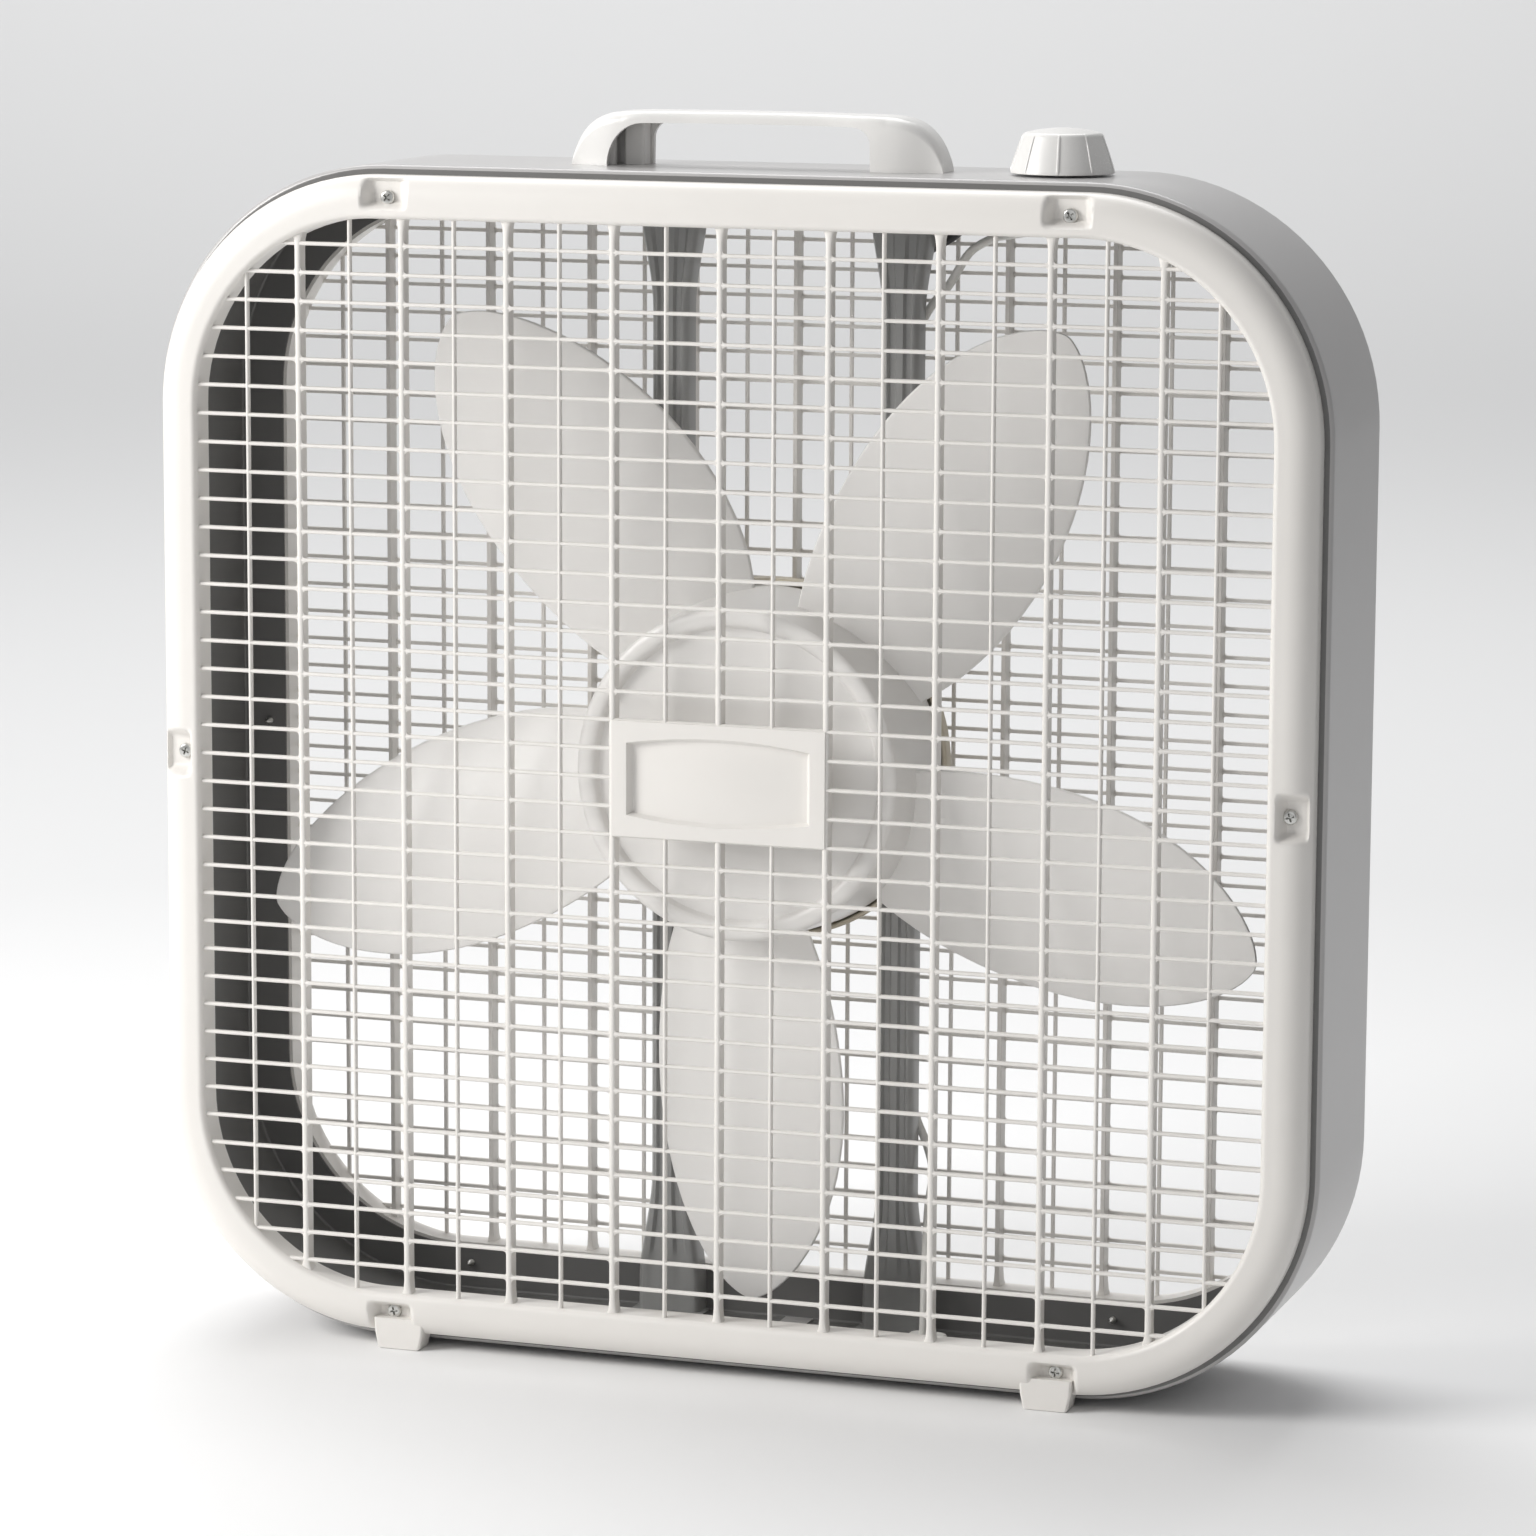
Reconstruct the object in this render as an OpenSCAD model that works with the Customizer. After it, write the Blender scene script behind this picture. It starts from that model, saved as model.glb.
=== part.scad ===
// Box fan: a square steel case between two moulded grilles, with a motor and a
// five-blade impeller on two struts, a carry handle and a rotary speed knob.
// The front faces -Y, +X is to the right seen from the front, and +Z is up.
// The origin is on the floor, under the middle of the case.

/* [Case] */
// Width of the steel case
case_w = 528; // [510:1:560]
// Height of the steel case
case_h = 520; // [510:1:560]
// Depth of the steel case between its rolled edges
case_d = 86; // [84:1:96]
// Outer corner radius of the case
case_r = 106; // [96:1:116]
// Thickness of the steel sheet
sheet = 1; // [0.8:0.1:1.2]
// Width of the flange that each grille is screwed to
flange_w = 21; // [20:0.5:22]
// Gap between the case and the floor
floor_gap = 3; // [2:0.5:6]

/* [Grilles] */
// Distance from the outside of the case to the outside of a grille rim
rim_inset = 4; // [3:0.5:6]
// Width of the rim seen from the front
rim_w = 18.5; // [17:0.5:20]
// Depth of the rim in front of the case
rim_d = 14; // [12:0.5:16]
// Radius of the rim's rounded front edges
rim_round = 6; // [4:0.5:7]
// Wall thickness of the moulded rim
rim_wall = 2.2; // [1.8:0.1:2.6]
// Distance between neighbouring upright bars
bar_dx = 24.2; // [23:0.1:25]
// Distance between neighbouring level bars
bar_dz = 12.55; // [12:0.05:13]
// Upright bars on each side of the middle one
bars_x = 9; // [8:1:9]
// Level bars above and below the middle one
bars_z = 18; // [16:1:18]
// Width of a thin bar
thin_bar = 1.7; // [1.4:0.1:2]
// Width of every second upright bar, which is also a deep rib
thick_bar = 2.8; // [2.4:0.1:3.2]
// Thickness of the bars from front to back
bar_t = 2.2; // [1.8:0.1:2.6]
// Depth of the ribs
rib_d = 7; // [5:0.5:8]
// Distance from the front of the rim back to the bars
bar_setback = 2.5; // [2:0.5:4]
// Sideways distance of the upper, lower and foot screws from the middle
screw_x = 152.5; // [145:0.5:155]
// Sideways distance of each foot from the middle
foot_x = 149; // [145:0.5:155]
// Width of a foot where it meets the rim
foot_w = 22; // [20:1:26]

/* [Fan] */
// Radius of the blade tips
tip_r = 238; // [220:1:240]
// Number of blades
blades = 5; // [3:1:5]
// Widest chord of a blade
blade_w = 94; // [80:1:96]
// Angle of the blades to the plane of the fan
blade_pitch = 17; // [12:1:20]
// Thickness of a blade
blade_t = 2; // [1.6:0.1:2.6]
// Radius of the front of the hub
hub_r = 73; // [68:1:76]
// Depth of the hub
hub_d = 50; // [46:1:52]

/* [Motor] */
// Radius of the motor shaft
shaft_r = 4; // [3:0.5:5]
// Running clearance between the shaft and its bearings
shaft_play = 0.05; // [0.02:0.01:0.08]
// Radius of the rotor
rotor_r = 22; // [20:0.5:24]
// Length of the steel core
core_d = 22; // [18:1:24]
// Outer radius of the stator
stator_r = 42; // [41:0.5:44]
// Radius of the round plate that carries the motor
plate_r = 80; // [76:1:84]
// Sideways distance of each strut from the middle
strut_x = 53; // [50:1:56]
// Width of a strut along its middle stretch
strut_w = 17; // [15:1:19]

/* [Handle and knob] */
// Length of the handle
handle_l = 168; // [150:1:180]
// Height of the handle above the case
handle_h = 24; // [22:1:30]
// Width of the handle from front to back
handle_w = 26; // [22:1:30]
// Thickness of the grip
grip_t = 6.5; // [5:0.5:8]
// Sideways distance of the knob from the middle
knob_x = 134.5; // [120:0.5:140]
// Radius of the knob at its foot
knob_r = 22.7; // [20:0.1:25]
// Height of the knob
knob_h = 19; // [16:1:22]

/* [Hidden] */
$fn = 72;
eps = 0.01;
case_top = floor_gap + case_h;
mid_z = floor_gap + case_h / 2;
half_d = case_d / 2;
// Grille sizes, across the rim and across its opening
grille_w = case_w - 2 * rim_inset;
grille_h = case_h - 2 * rim_inset;
grille_r = case_r - rim_inset;
open_w = grille_w - 2 * rim_w;
open_h = grille_h - 2 * rim_w;
open_r = grille_r - rim_w;
// Front surface of the bars, measured forward from the case
bar_front = rim_d - bar_setback;
screw_in = 9.5;
pocket_floor = 7;
head_r = 3.2;
head_h = 2.1;
shank_r = 1.5;
hole_r = 1.7;
shank_l = 13;
foot_h = floor_gap + rim_inset;
// Positions from front to back of the parts on the fan's axis
hub_front = -33;
hub_back = hub_front + hub_d;
blade_mid = -3;
core_front = -6;
core_back = core_front + core_d;
plate_front = 25;
plate_t = 2.5;
strut_front = 31;
strut_back = half_d - sheet;
strut_t = 1.2;
strut_end_w = 29;
strut_end_h = 62;
mount_dz = 38;
// Clearance holes for the plate's screws and for the motor's bolts
plate_hole_r = 2.2;
bolt_hole_r = 2.1;
bolt_ring_r = stator_r - 4;
bearing_r = 7;
bearing_l = 11;
bell_d = 12;
bell_boss = 4;
// Direction of the first blade, and where the blades start inside the hub
first_blade = 48;
blade_root_r = 62;
camber_r = 150;
// The hub's sleeve ends just in front of the motor
sleeve_r = 9;
sleeve_back = core_front - bell_d - bell_boss - 2;
// Strut ends: a folded foot, and two screws in each
strut_foot_w = 34;
strut_foot_front = 17;
strut_screw_dx = 9;
strut_screw_in = 13;
// Places where things pass through the case
tab_x = 112;
tab_y = 8;
handle_foot_x = handle_l / 2 - 14;
gland_x = 78;
gland_y = -4;
gland_r = 7;
knob_gap = 1;
spindle_r = 3;
bush_r = 5;
switch_w = 34;
switch_h = 16;
// Leads inside the case, which run along the right strut
lead_r = 1.9;
lead_y = strut_back - 3.5;
lead_over = strut_back + lead_r + 0.7;
lead_aside = 3.7;

// ---------- shared shapes ----------

// Rectangle with round corners, about the middle.
module round_rect(w, h, r) {
    square([w - 2 * r, h], center = true);
    square([w, h - 2 * r], center = true);
    for (sx = [-1, 1], sy = [-1, 1])
        translate([sx * (w / 2 - r), sy * (h / 2 - r)]) circle(r);
}

// Stands a shape that is drawn face up so that its face looks forward.
// y is where its base plane comes to lie.
module facing_front(y = 0) {
    translate([0, y, mid_z]) rotate([90, 0, 0]) children();
}

// Both copies of a shape, to the left and right of the middle.
module left_and_right() {
    children();
    mirror([1, 0, 0]) children();
}

// Pan-head screw with a cross recess. The head stands on z = 0 and the shank hangs below.
module pan_screw(length, r = shank_r, head = head_r) {
    recess = head * 0.9;
    difference() {
        union() {
            cylinder(r = head, h = head_h - 0.6);
            translate([0, 0, head_h - 0.6]) cylinder(r1 = head, r2 = head - 0.9, h = 0.6);
        }
        for (a = [0, 90])
            rotate([0, 0, a]) translate([-recess, -0.45, head_h - 1]) cube([2 * recess, 0.9, 2]);
    }
    translate([0, 0, -length + 2]) cylinder(r = r, h = length - 2 + eps);
    translate([0, 0, -length]) cylinder(r1 = 0.4, r2 = r, h = 2);
}

module hex_nut(r, bore_r, h) {
    difference() {
        cylinder(r = r, h = h, $fn = 6);
        translate([0, 0, -1]) cylinder(r = bore_r, h = h + 2);
    }
}

// The six screw places of a grille, in its own plane.
function screw_places() = [
    for (sy = [-1, 1], sx = [-1, 1]) [sx * screw_x, sy * (grille_h / 2 - screw_in)],
    for (sx = [-1, 1]) [sx * (grille_w / 2 - screw_in), 0]
];

module at_screws() {
    for (p = screw_places()) translate([p.x, p.y, 0]) children();
}

// A point on the smooth curve through pts, where u runs from 0 to the last index.
function curve_point(pts, u) =
    let (
        n = len(pts) - 1,
        i = min(floor(u), n - 1),
        t = u - i,
        a = pts[max(i - 1, 0)],
        b = pts[i],
        c = pts[i + 1],
        d = pts[min(i + 2, n)]
    )
    0.5 * (2 * b + (c - a) * t + (2 * a - 5 * b + 4 * c - d) * t * t
        + (3 * b - a - 3 * c + d) * t * t * t);

// Tube of eight sides along the smooth curve through pts.
module lead(pts, r, steps = 3) {
    sides = 8;
    rings = (len(pts) - 1) * steps;
    path = [for (k = [0:rings]) curve_point(pts, k / steps)];
    ring_points = [
        for (k = [0:rings])
            let (
                t = path[min(k + 1, rings)] - path[max(k - 1, 0)],
                dir = t / norm(t),
                side = cross(dir, [0.31, 0.87, 0.38]),
                u = side / norm(side),
                v = cross(dir, u)
            )
            for (s = [0:sides - 1])
                path[k] + r * (u * cos(s * 360 / sides) + v * sin(s * 360 / sides))
    ];
    walls = [
        for (k = [0:rings - 1], s = [0:sides - 1])
            let (s2 = (s + 1) % sides)
            [k * sides + s, (k + 1) * sides + s, (k + 1) * sides + s2, k * sides + s2]
    ];
    first = [for (s = [0:sides - 1]) s];
    last = [for (s = [0:sides - 1]) rings * sides + sides - 1 - s];
    polyhedron(ring_points, concat(walls, [first, last]), convexity = 8);
}

// ---------- case ----------

module case_band() {
    slot = [14, 9];
    color("#A9A7A6")
    difference() {
        facing_front(half_d) linear_extrude(case_d) round_rect(case_w, case_h, case_r);
        facing_front(half_d - sheet) linear_extrude(case_d - 2 * sheet)
            round_rect(case_w - 2 * sheet, case_h - 2 * sheet, case_r - sheet);
        facing_front(half_d + 1) linear_extrude(case_d + 2)
            round_rect(case_w - 2 * flange_w, case_h - 2 * flange_w, case_r - flange_w);
        facing_front(half_d + 1) at_screws() cylinder(r = hole_r, h = case_d + 2, $fn = 24);
        facing_front(half_d + 1) at_strut_screws() cylinder(r = hole_r, h = 4, $fn = 24);
        translate([knob_x, 0, case_top - 3]) cylinder(r = bush_r + 0.1, h = 6);
        left_and_right() translate([handle_foot_x, 0, case_top - 3]) cylinder(r = hole_r, h = 6);
        translate([gland_x, gland_y, floor_gap - 1]) cylinder(r = gland_r + 0.1, h = 4);
        left_and_right() translate([tab_x, tab_y, floor_gap - 1])
            linear_extrude(4) square(slot, center = true);
    }
}

// ---------- grilles ----------

// Cross-section of the rim: x across its width from the opening out, y forward.
module rim_section(inset = 0) {
    r = rim_round - inset;
    flat = rim_w - 2 * rim_round;
    side = rim_d - rim_round;
    translate([inset, -inset]) square([rim_w - 2 * inset, side + inset]);
    translate([rim_round, side - 1]) square([flat, r + 1]);
    for (x = [rim_round, rim_w - rim_round])
        translate([x, side]) intersection() {
            circle(r, $fn = 40);
            translate([-r, 0]) square([2 * r, r]);
        }
}

// The rim's section carried round the opening.
module rim_ring(inset = 0) {
    straight = [open_w - 2 * open_r, open_h - 2 * open_r];
    for (a = [0:90:270])
        rotate([0, 0, a]) {
            along = (a % 180 == 0) ? straight.y : straight.x;
            out = (a % 180 == 0) ? open_w / 2 : open_h / 2;
            translate([out, along / 2, 0]) rotate([90, 0, 0])
                linear_extrude(along) rim_section(inset);
            translate([out - open_r, along / 2, 0])
                rotate_extrude(angle = 90) translate([open_r, 0]) rim_section(inset);
        }
}

module rim() {
    boss = [19, 13];
    pocket = [14, 11];
    difference() {
        rim_ring();
        difference() {
            rim_ring(rim_wall);
            at_screws() translate([0, 0, -5]) linear_extrude(rim_d + 10) square(boss, center = true);
        }
        at_screws() translate([0, 0, pocket_floor])
            linear_extrude(rim_d) square(pocket, center = true);
        at_screws() translate([0, 0, -1]) cylinder(r = hole_r, h = rim_d, $fn = 24);
    }
}

// Upright bars are counted from the middle, and the even ones are thick.
function bar_width(i) = (i % 2 == 0) ? thick_bar : thin_bar;

// The bars in one flat layer, as a sheet with a window for each cell.
module bar_layer(badge) {
    linear_extrude(bar_t) difference() {
        round_rect(open_w + 2, open_h + 2, open_r + 1);
        intersection() {
            round_rect(open_w, open_h, open_r);
            union() for (i = [-bars_x - 1:bars_x]) {
                x0 = i * bar_dx + bar_width(i) / 2;
                x1 = (i + 1) * bar_dx - bar_width(i + 1) / 2;
                for (j = [-bars_z - 1:bars_z])
                    if (!(badge && i >= -2 && i < 2 && j >= -2 && j < 2))
                        translate([x0, j * bar_dz + thin_bar / 2])
                            square([x1 - x0, bar_dz - thin_bar]);
            }
        }
    }
}

// How far an upright bar at x reaches up and down inside the opening.
function bar_reach(x) =
    let (
        straight = open_w / 2 - open_r,
        into = max(abs(x) - straight, 0)
    )
    open_h / 2 - open_r + sqrt(open_r * open_r - into * into);

module ribs() {
    for (i = [-bars_x:bars_x])
        if (i % 2 == 0) {
            reach = bar_reach(i * bar_dx) + 0.8;
            translate([i * bar_dx, 0, bar_front - rib_d]) linear_extrude(rib_d - 0.5)
                square([thick_bar, 2 * reach], center = true);
        }
}

// Plain plate in the middle of the grille, with a shallow bowed recess.
module badge_plate() {
    w = 4 * bar_dx;
    h = 4 * bar_dz;
    recess_w = 0.85 * w;
    recess_h = 0.74 * h;
    bow = 3.5;
    bow_r = (recess_w * recess_w / 4 + bow * bow) / (2 * bow);
    difference() {
        translate([0, 0, bar_front - bar_t - 0.6]) linear_extrude(bar_t + 1.4)
            square([w, h], center = true);
        translate([0, 0, bar_front - 0.6]) linear_extrude(3) intersection() {
            square([recess_w, h], center = true);
            translate([0, recess_h / 2 - bow_r]) circle(bow_r, $fn = 180);
            translate([0, bow_r - recess_h / 2]) circle(bow_r, $fn = 180);
        }
    }
}

module feet() {
    taper = 1.5;
    for (s = [-1, 1])
        translate([s * foot_x, -grille_h / 2, 0.5]) linear_extrude(rim_d - 2)
            polygon([
                [-foot_w / 2, rim_w / 6],
                [-foot_w / 2, 0],
                [-foot_w / 2 + taper, -foot_h],
                [foot_w / 2 - taper, -foot_h],
                [foot_w / 2, 0],
                [foot_w / 2, rim_w / 6]
            ]);
}

module grille(badge) {
    rim();
    translate([0, 0, bar_front - bar_t]) bar_layer(badge);
    ribs();
    if (badge) badge_plate();
    feet();
}

module front_grille() {
    color("#F1EFEC") facing_front(-half_d) grille(true);
}

module rear_grille() {
    color("#F1EFEC") mirror([0, 1, 0]) facing_front(-half_d) grille(false);
}

module grille_screws() {
    facing_front(-half_d) at_screws() translate([0, 0, pocket_floor]) pan_screw(shank_l);
}

module front_grille_screws() {
    color("silver") grille_screws();
}

module rear_grille_screws() {
    color("silver") mirror([0, 1, 0]) grille_screws();
}

// ---------- handle ----------

// Side view of the handle: x along it, y up from the case.
module handle_outline() {
    shoulder_r = handle_h - 2;
    gap_half = handle_l / 2 - 29;
    gap_h = handle_h - grip_t;
    corner = 7;
    difference() {
        union() {
            square([handle_l - 2 * shoulder_r, 2 * handle_h], center = true);
            for (s = [-1, 1])
                translate([s * (handle_l / 2 - shoulder_r), 0]) circle(shoulder_r);
            square([handle_l, 4], center = true);
        }
        translate([-handle_l, -2 * handle_h]) square([2 * handle_l, 2 * handle_h]);
        translate([-gap_half, -1]) square([2 * gap_half, gap_h - corner + 1]);
        translate([-gap_half + corner, 0]) square([2 * (gap_half - corner), gap_h]);
        for (s = [-1, 1]) translate([s * (gap_half - corner), gap_h - corner]) circle(corner);
    }
}

module carry_handle() {
    end_r = handle_w / 2;
    color("#F4F3F1")
    difference() {
        translate([0, 0, case_top]) intersection() {
            translate([0, handle_w / 2, 0]) rotate([90, 0, 0])
                linear_extrude(handle_w) handle_outline();
            linear_extrude(handle_h + 1) round_rect(handle_l, handle_w, end_r - 1);
        }
        left_and_right() translate([handle_foot_x, 0, case_top - 1]) cylinder(r = hole_r, h = 12);
    }
}

module handle_screws() {
    color("silver")
    left_and_right() translate([handle_foot_x, 0, case_top - sheet])
        rotate([180, 0, 0]) pan_screw(10);
}

// ---------- struts ----------

// Places of the screws that hold the strut ends to the rear flange.
module at_strut_screws() {
    for (sx = [-1, 1], side = [-1, 1], sy = [-1, 1])
        translate([sx * strut_x + side * strut_screw_dx, sy * (case_h / 2 - strut_screw_in), 0])
            children();
}

// Outline of a strut seen from the front, with its flared ends.
module strut_outline(inset = 0) {
    half_h = case_h / 2 - sheet;
    w = strut_w / 2 - inset;
    e = strut_end_w / 2 - inset;
    polygon([
        [-e, -half_h], [e, -half_h], [e, -half_h + 16], [w, -half_h + strut_end_h],
        [w, half_h - strut_end_h], [e, half_h - 16], [e, half_h],
        [-e, half_h], [-e, half_h - 16], [-w, half_h - strut_end_h],
        [-w, -half_h + strut_end_h], [-e, -half_h + 16]
    ]);
}

// Channel that is open to the back, with a rib inside, folded feet and end tabs.
module strut(x) {
    depth = strut_back - strut_front;
    half_h = case_h / 2 - sheet;
    nut_room = 10;
    color("#666666")
    translate([x, 0, 0]) difference() {
        union() {
            facing_front(strut_back) difference() {
                linear_extrude(depth) strut_outline();
                translate([0, 0, -1]) linear_extrude(depth + 1 - strut_t) strut_outline(strut_t);
            }
            facing_front(strut_back) linear_extrude(depth - 0.2) difference() {
                square([strut_t, 2 * (half_h - strut_end_h)], center = true);
                for (s = [-1, 1]) translate([0, s * mount_dz]) square(nut_room, center = true);
            }
            for (s = [-1, 1]) {
                translate([
                    0, (strut_foot_front + strut_back) / 2, mid_z + s * (half_h - strut_t / 2)
                ])
                    cube([strut_foot_w, strut_back - strut_foot_front, strut_t], center = true);
                translate([0, strut_back - strut_t / 2, mid_z + s * (half_h - 10)])
                    cube([strut_end_w, strut_t, 20], center = true);
            }
        }
        facing_front(strut_back + 1) for (side = [-1, 1], sy = [-1, 1])
            translate([side * strut_screw_dx, sy * (case_h / 2 - strut_screw_in), 0])
                cylinder(r = hole_r, h = 4, $fn = 24);
        facing_front(strut_back) for (sy = [-1, 1])
            translate([0, sy * mount_dz, -1]) cylinder(r = plate_hole_r, h = depth + 2, $fn = 24);
    }
}

module left_strut() {
    strut(-strut_x);
}

module right_strut() {
    strut(strut_x);
}

module strut_screws() {
    color("silver")
    facing_front(strut_back - strut_t) at_strut_screws() pan_screw(6);
}

// ---------- motor mount ----------

// The four places where the motor plate is bolted to the struts.
module at_plate_bolts() {
    for (sx = [-1, 1], sz = [-1, 1])
        translate([sx * strut_x, 0, mid_z + sz * mount_dz]) rotate([90, 0, 0]) children();
}

module motor_plate() {
    lip = 6;
    color("#CFC6B4")
    difference() {
        facing_front(plate_front + plate_t) union() {
            cylinder(r = plate_r, h = plate_t);
            difference() {
                cylinder(r = plate_r, h = plate_t + lip);
                translate([0, 0, -1]) cylinder(r = plate_r - plate_t, h = plate_t + lip + 2);
            }
        }
        facing_front(plate_front + plate_t + 1) cylinder(r = 12, h = plate_t + 2);
        translate([0, plate_front + plate_t + 1, 0]) at_plate_bolts()
            cylinder(r = plate_hole_r, h = 5);
        facing_front(plate_front + plate_t + 1) at_motor_bolts()
            cylinder(r = bolt_hole_r, h = plate_t + 2, $fn = 24);
        facing_front(plate_front + plate_t + 1) for (a = [20:40:340])
            rotate([0, 0, a]) translate([plate_r - 16, 0, 0])
                linear_extrude(plate_t + 2) square([5, 14], center = true);
    }
}

module motor_grommets() {
    color("#2B2B2B")
    translate([0, strut_front, 0]) at_plate_bolts() difference() {
        cylinder(r = 6.5, h = strut_front - plate_front - plate_t);
        translate([0, 0, -1]) cylinder(r = plate_hole_r, h = 8);
    }
}

module motor_plate_screws() {
    color("silver")
    translate([0, plate_front, 0]) at_plate_bolts() pan_screw(12, r = 2, head = 3.8);
}

module motor_plate_nuts() {
    color("silver")
    translate([0, strut_front + strut_t + 3, 0]) at_plate_bolts() hex_nut(3.8, 2.05, 3);
}

// ---------- motor ----------

// The four bolts that clamp the motor's ends and core together.
module at_motor_bolts() {
    for (a = [45:90:315]) rotate([0, 0, a]) translate([bolt_ring_r, 0, 0]) children();
}

module stator_core() {
    pole_w = 14;
    bore_r = rotor_r + 0.5;
    yoke_r = stator_r - 8;
    color("#5A5A5C")
    facing_front(core_back) difference() {
        linear_extrude(core_d) union() {
            difference() {
                circle(stator_r);
                circle(yoke_r);
            }
            for (a = [0, 90]) rotate(a) difference() {
                square([2 * yoke_r + 2, pole_w], center = true);
                circle(bore_r);
            }
            for (a = [0:90:270]) rotate(a) intersection() {
                difference() {
                    circle(bore_r + 2.5);
                    circle(bore_r);
                }
                translate([0, -12]) square([stator_r, 24]);
            }
        }
        translate([0, 0, -1]) at_motor_bolts() cylinder(r = bolt_hole_r, h = core_d + 2, $fn = 24);
    }
}

module field_coils() {
    inner = [14.6, core_d + 0.6];
    build = 2.4;
    radial = 5.6;
    color("#A4582E")
    facing_front((core_front + core_back) / 2) for (a = [0:90:270])
        rotate([0, 0, a]) translate([rotor_r + 3.5, 0, 0]) rotate([90, 0, 90])
            linear_extrude(radial) difference() {
                round_rect(inner.x + 2 * build, inner.y + 2 * build + 3, 2);
                square(inner, center = true);
            }
}

module shading_rings() {
    color("#B87333")
    facing_front(core_front) for (a = [0:90:270])
        rotate([0, 0, a]) translate([rotor_r + 1.9, 7.6, 0])
            linear_extrude(1.2) round_rect(2, 5, 0.9);
}

// One end of the motor: a dished plate with a boss for the bearing.
module bell(depth) {
    wall = 1.6;
    boss_r = 11;
    difference() {
        union() {
            cylinder(r = stator_r, h = depth);
            cylinder(r = boss_r, h = depth + bell_boss);
        }
        translate([0, 0, -1]) cylinder(r = stator_r - 9, h = depth + 1 - wall);
        translate([0, 0, -1]) cylinder(r = bearing_r, h = depth + 8);
        translate([0, 0, -1]) at_motor_bolts() cylinder(r = bolt_hole_r, h = depth + 2, $fn = 24);
        for (a = [0:30:330]) rotate([0, 0, a]) translate([22, 0, depth - wall - 1])
            linear_extrude(wall + 2) round_rect(9, 4, 1.9);
    }
    difference() {
        translate([0, 0, depth - 8]) cylinder(r = boss_r, h = 8);
        translate([0, 0, depth - 9]) cylinder(r = bearing_r, h = 10);
    }
}

module front_bell() {
    color("#8E8F92") facing_front(core_front) bell(bell_d);
}

// The rear bell is shallower, so that it ends at the motor plate.
module rear_bell() {
    color("#8E8F92") mirror([0, 1, 0]) facing_front(-core_back) bell(plate_front - core_back);
}

module bearing() {
    difference() {
        cylinder(r = bearing_r, h = bearing_l);
        translate([0, 0, -1]) cylinder(r = shaft_r + shaft_play, h = bearing_l + 2);
    }
}

module front_bearing() {
    color("#B08D57") facing_front(core_front - bell_d + 7) bearing();
}

module rear_bearing() {
    color("#B08D57") facing_front(plate_front + 3) bearing();
}

module motor_bolts() {
    head_y = core_front - bell_d;
    length = plate_front + plate_t + 4 - head_y;
    color("silver")
    facing_front(head_y) at_motor_bolts() pan_screw(length, r = 2, head = 3.8);
}

module motor_nuts() {
    color("silver")
    facing_front(plate_front + plate_t + 2.5) at_motor_bolts() hex_nut(3.6, 2.05, 2.5);
}

// ---------- rotating parts ----------

module motor_shaft() {
    color("#C9CACC")
    facing_front(plate_front + 4) cylinder(r = shaft_r, h = plate_front + 4 - hub_front - 4);
}

module rotor_core() {
    color("#77787A")
    facing_front(core_back) difference() {
        cylinder(r = rotor_r, h = core_d);
        translate([0, 0, -1]) cylinder(r = shaft_r, h = core_d + 2);
    }
}

module thrust_washers() {
    color("#3F3A33") {
        facing_front(core_front) washer();
        facing_front(core_back + 1) washer();
    }
}

module washer() {
    difference() {
        cylinder(r = 7, h = 1);
        translate([0, 0, -1]) cylinder(r = shaft_r, h = 3);
    }
}

// Half width of a blade at radius r, from its petal shape.
function blade_half(r) =
    let (
        mid = (tip_r + 40) / 2,
        reach = tip_r - mid,
        u = min(abs(r - mid) / reach, 1),
        power = r < mid ? 0.5 : 0.62
    )
    blade_w / 2 * pow(max(1 - u * u, 0), power);

// Sideways drift of the blade's middle line with radius, in degrees.
function blade_sweep(r) = 6 * (1 - pow((tip_r - r) / (tip_r - 60), 2));

module blade_outline() {
    steps = 22;
    radii = [
        for (k = [0:steps]) blade_root_r + (tip_r - blade_root_r) * sin(90 * k / steps)
    ];
    function edge(r, side) =
        let (a = blade_sweep(r))
        [r * cos(a) - side * blade_half(r) * sin(a), r * sin(a) + side * blade_half(r) * cos(a)];
    polygon(concat(
        [for (r = radii) edge(r, 1)],
        [for (k = [steps - 1:-1:0]) edge(radii[k], -1)]
    ));
}

// A blade points along +X and is seen from the front: its upper edge stands forward.
module blade() {
    reach = 40;
    intersection() {
        translate([0, 0, -reach]) linear_extrude(2 * reach) blade_outline();
        rotate([blade_pitch, 0, 0]) translate([0, 0, -camber_r]) rotate([0, 90, 0])
            difference() {
                cylinder(r = camber_r, h = tip_r + 1, $fn = 180);
                translate([0, 0, -1]) cylinder(r = camber_r - blade_t, h = tip_r + 3, $fn = 180);
            }
    }
}

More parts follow.
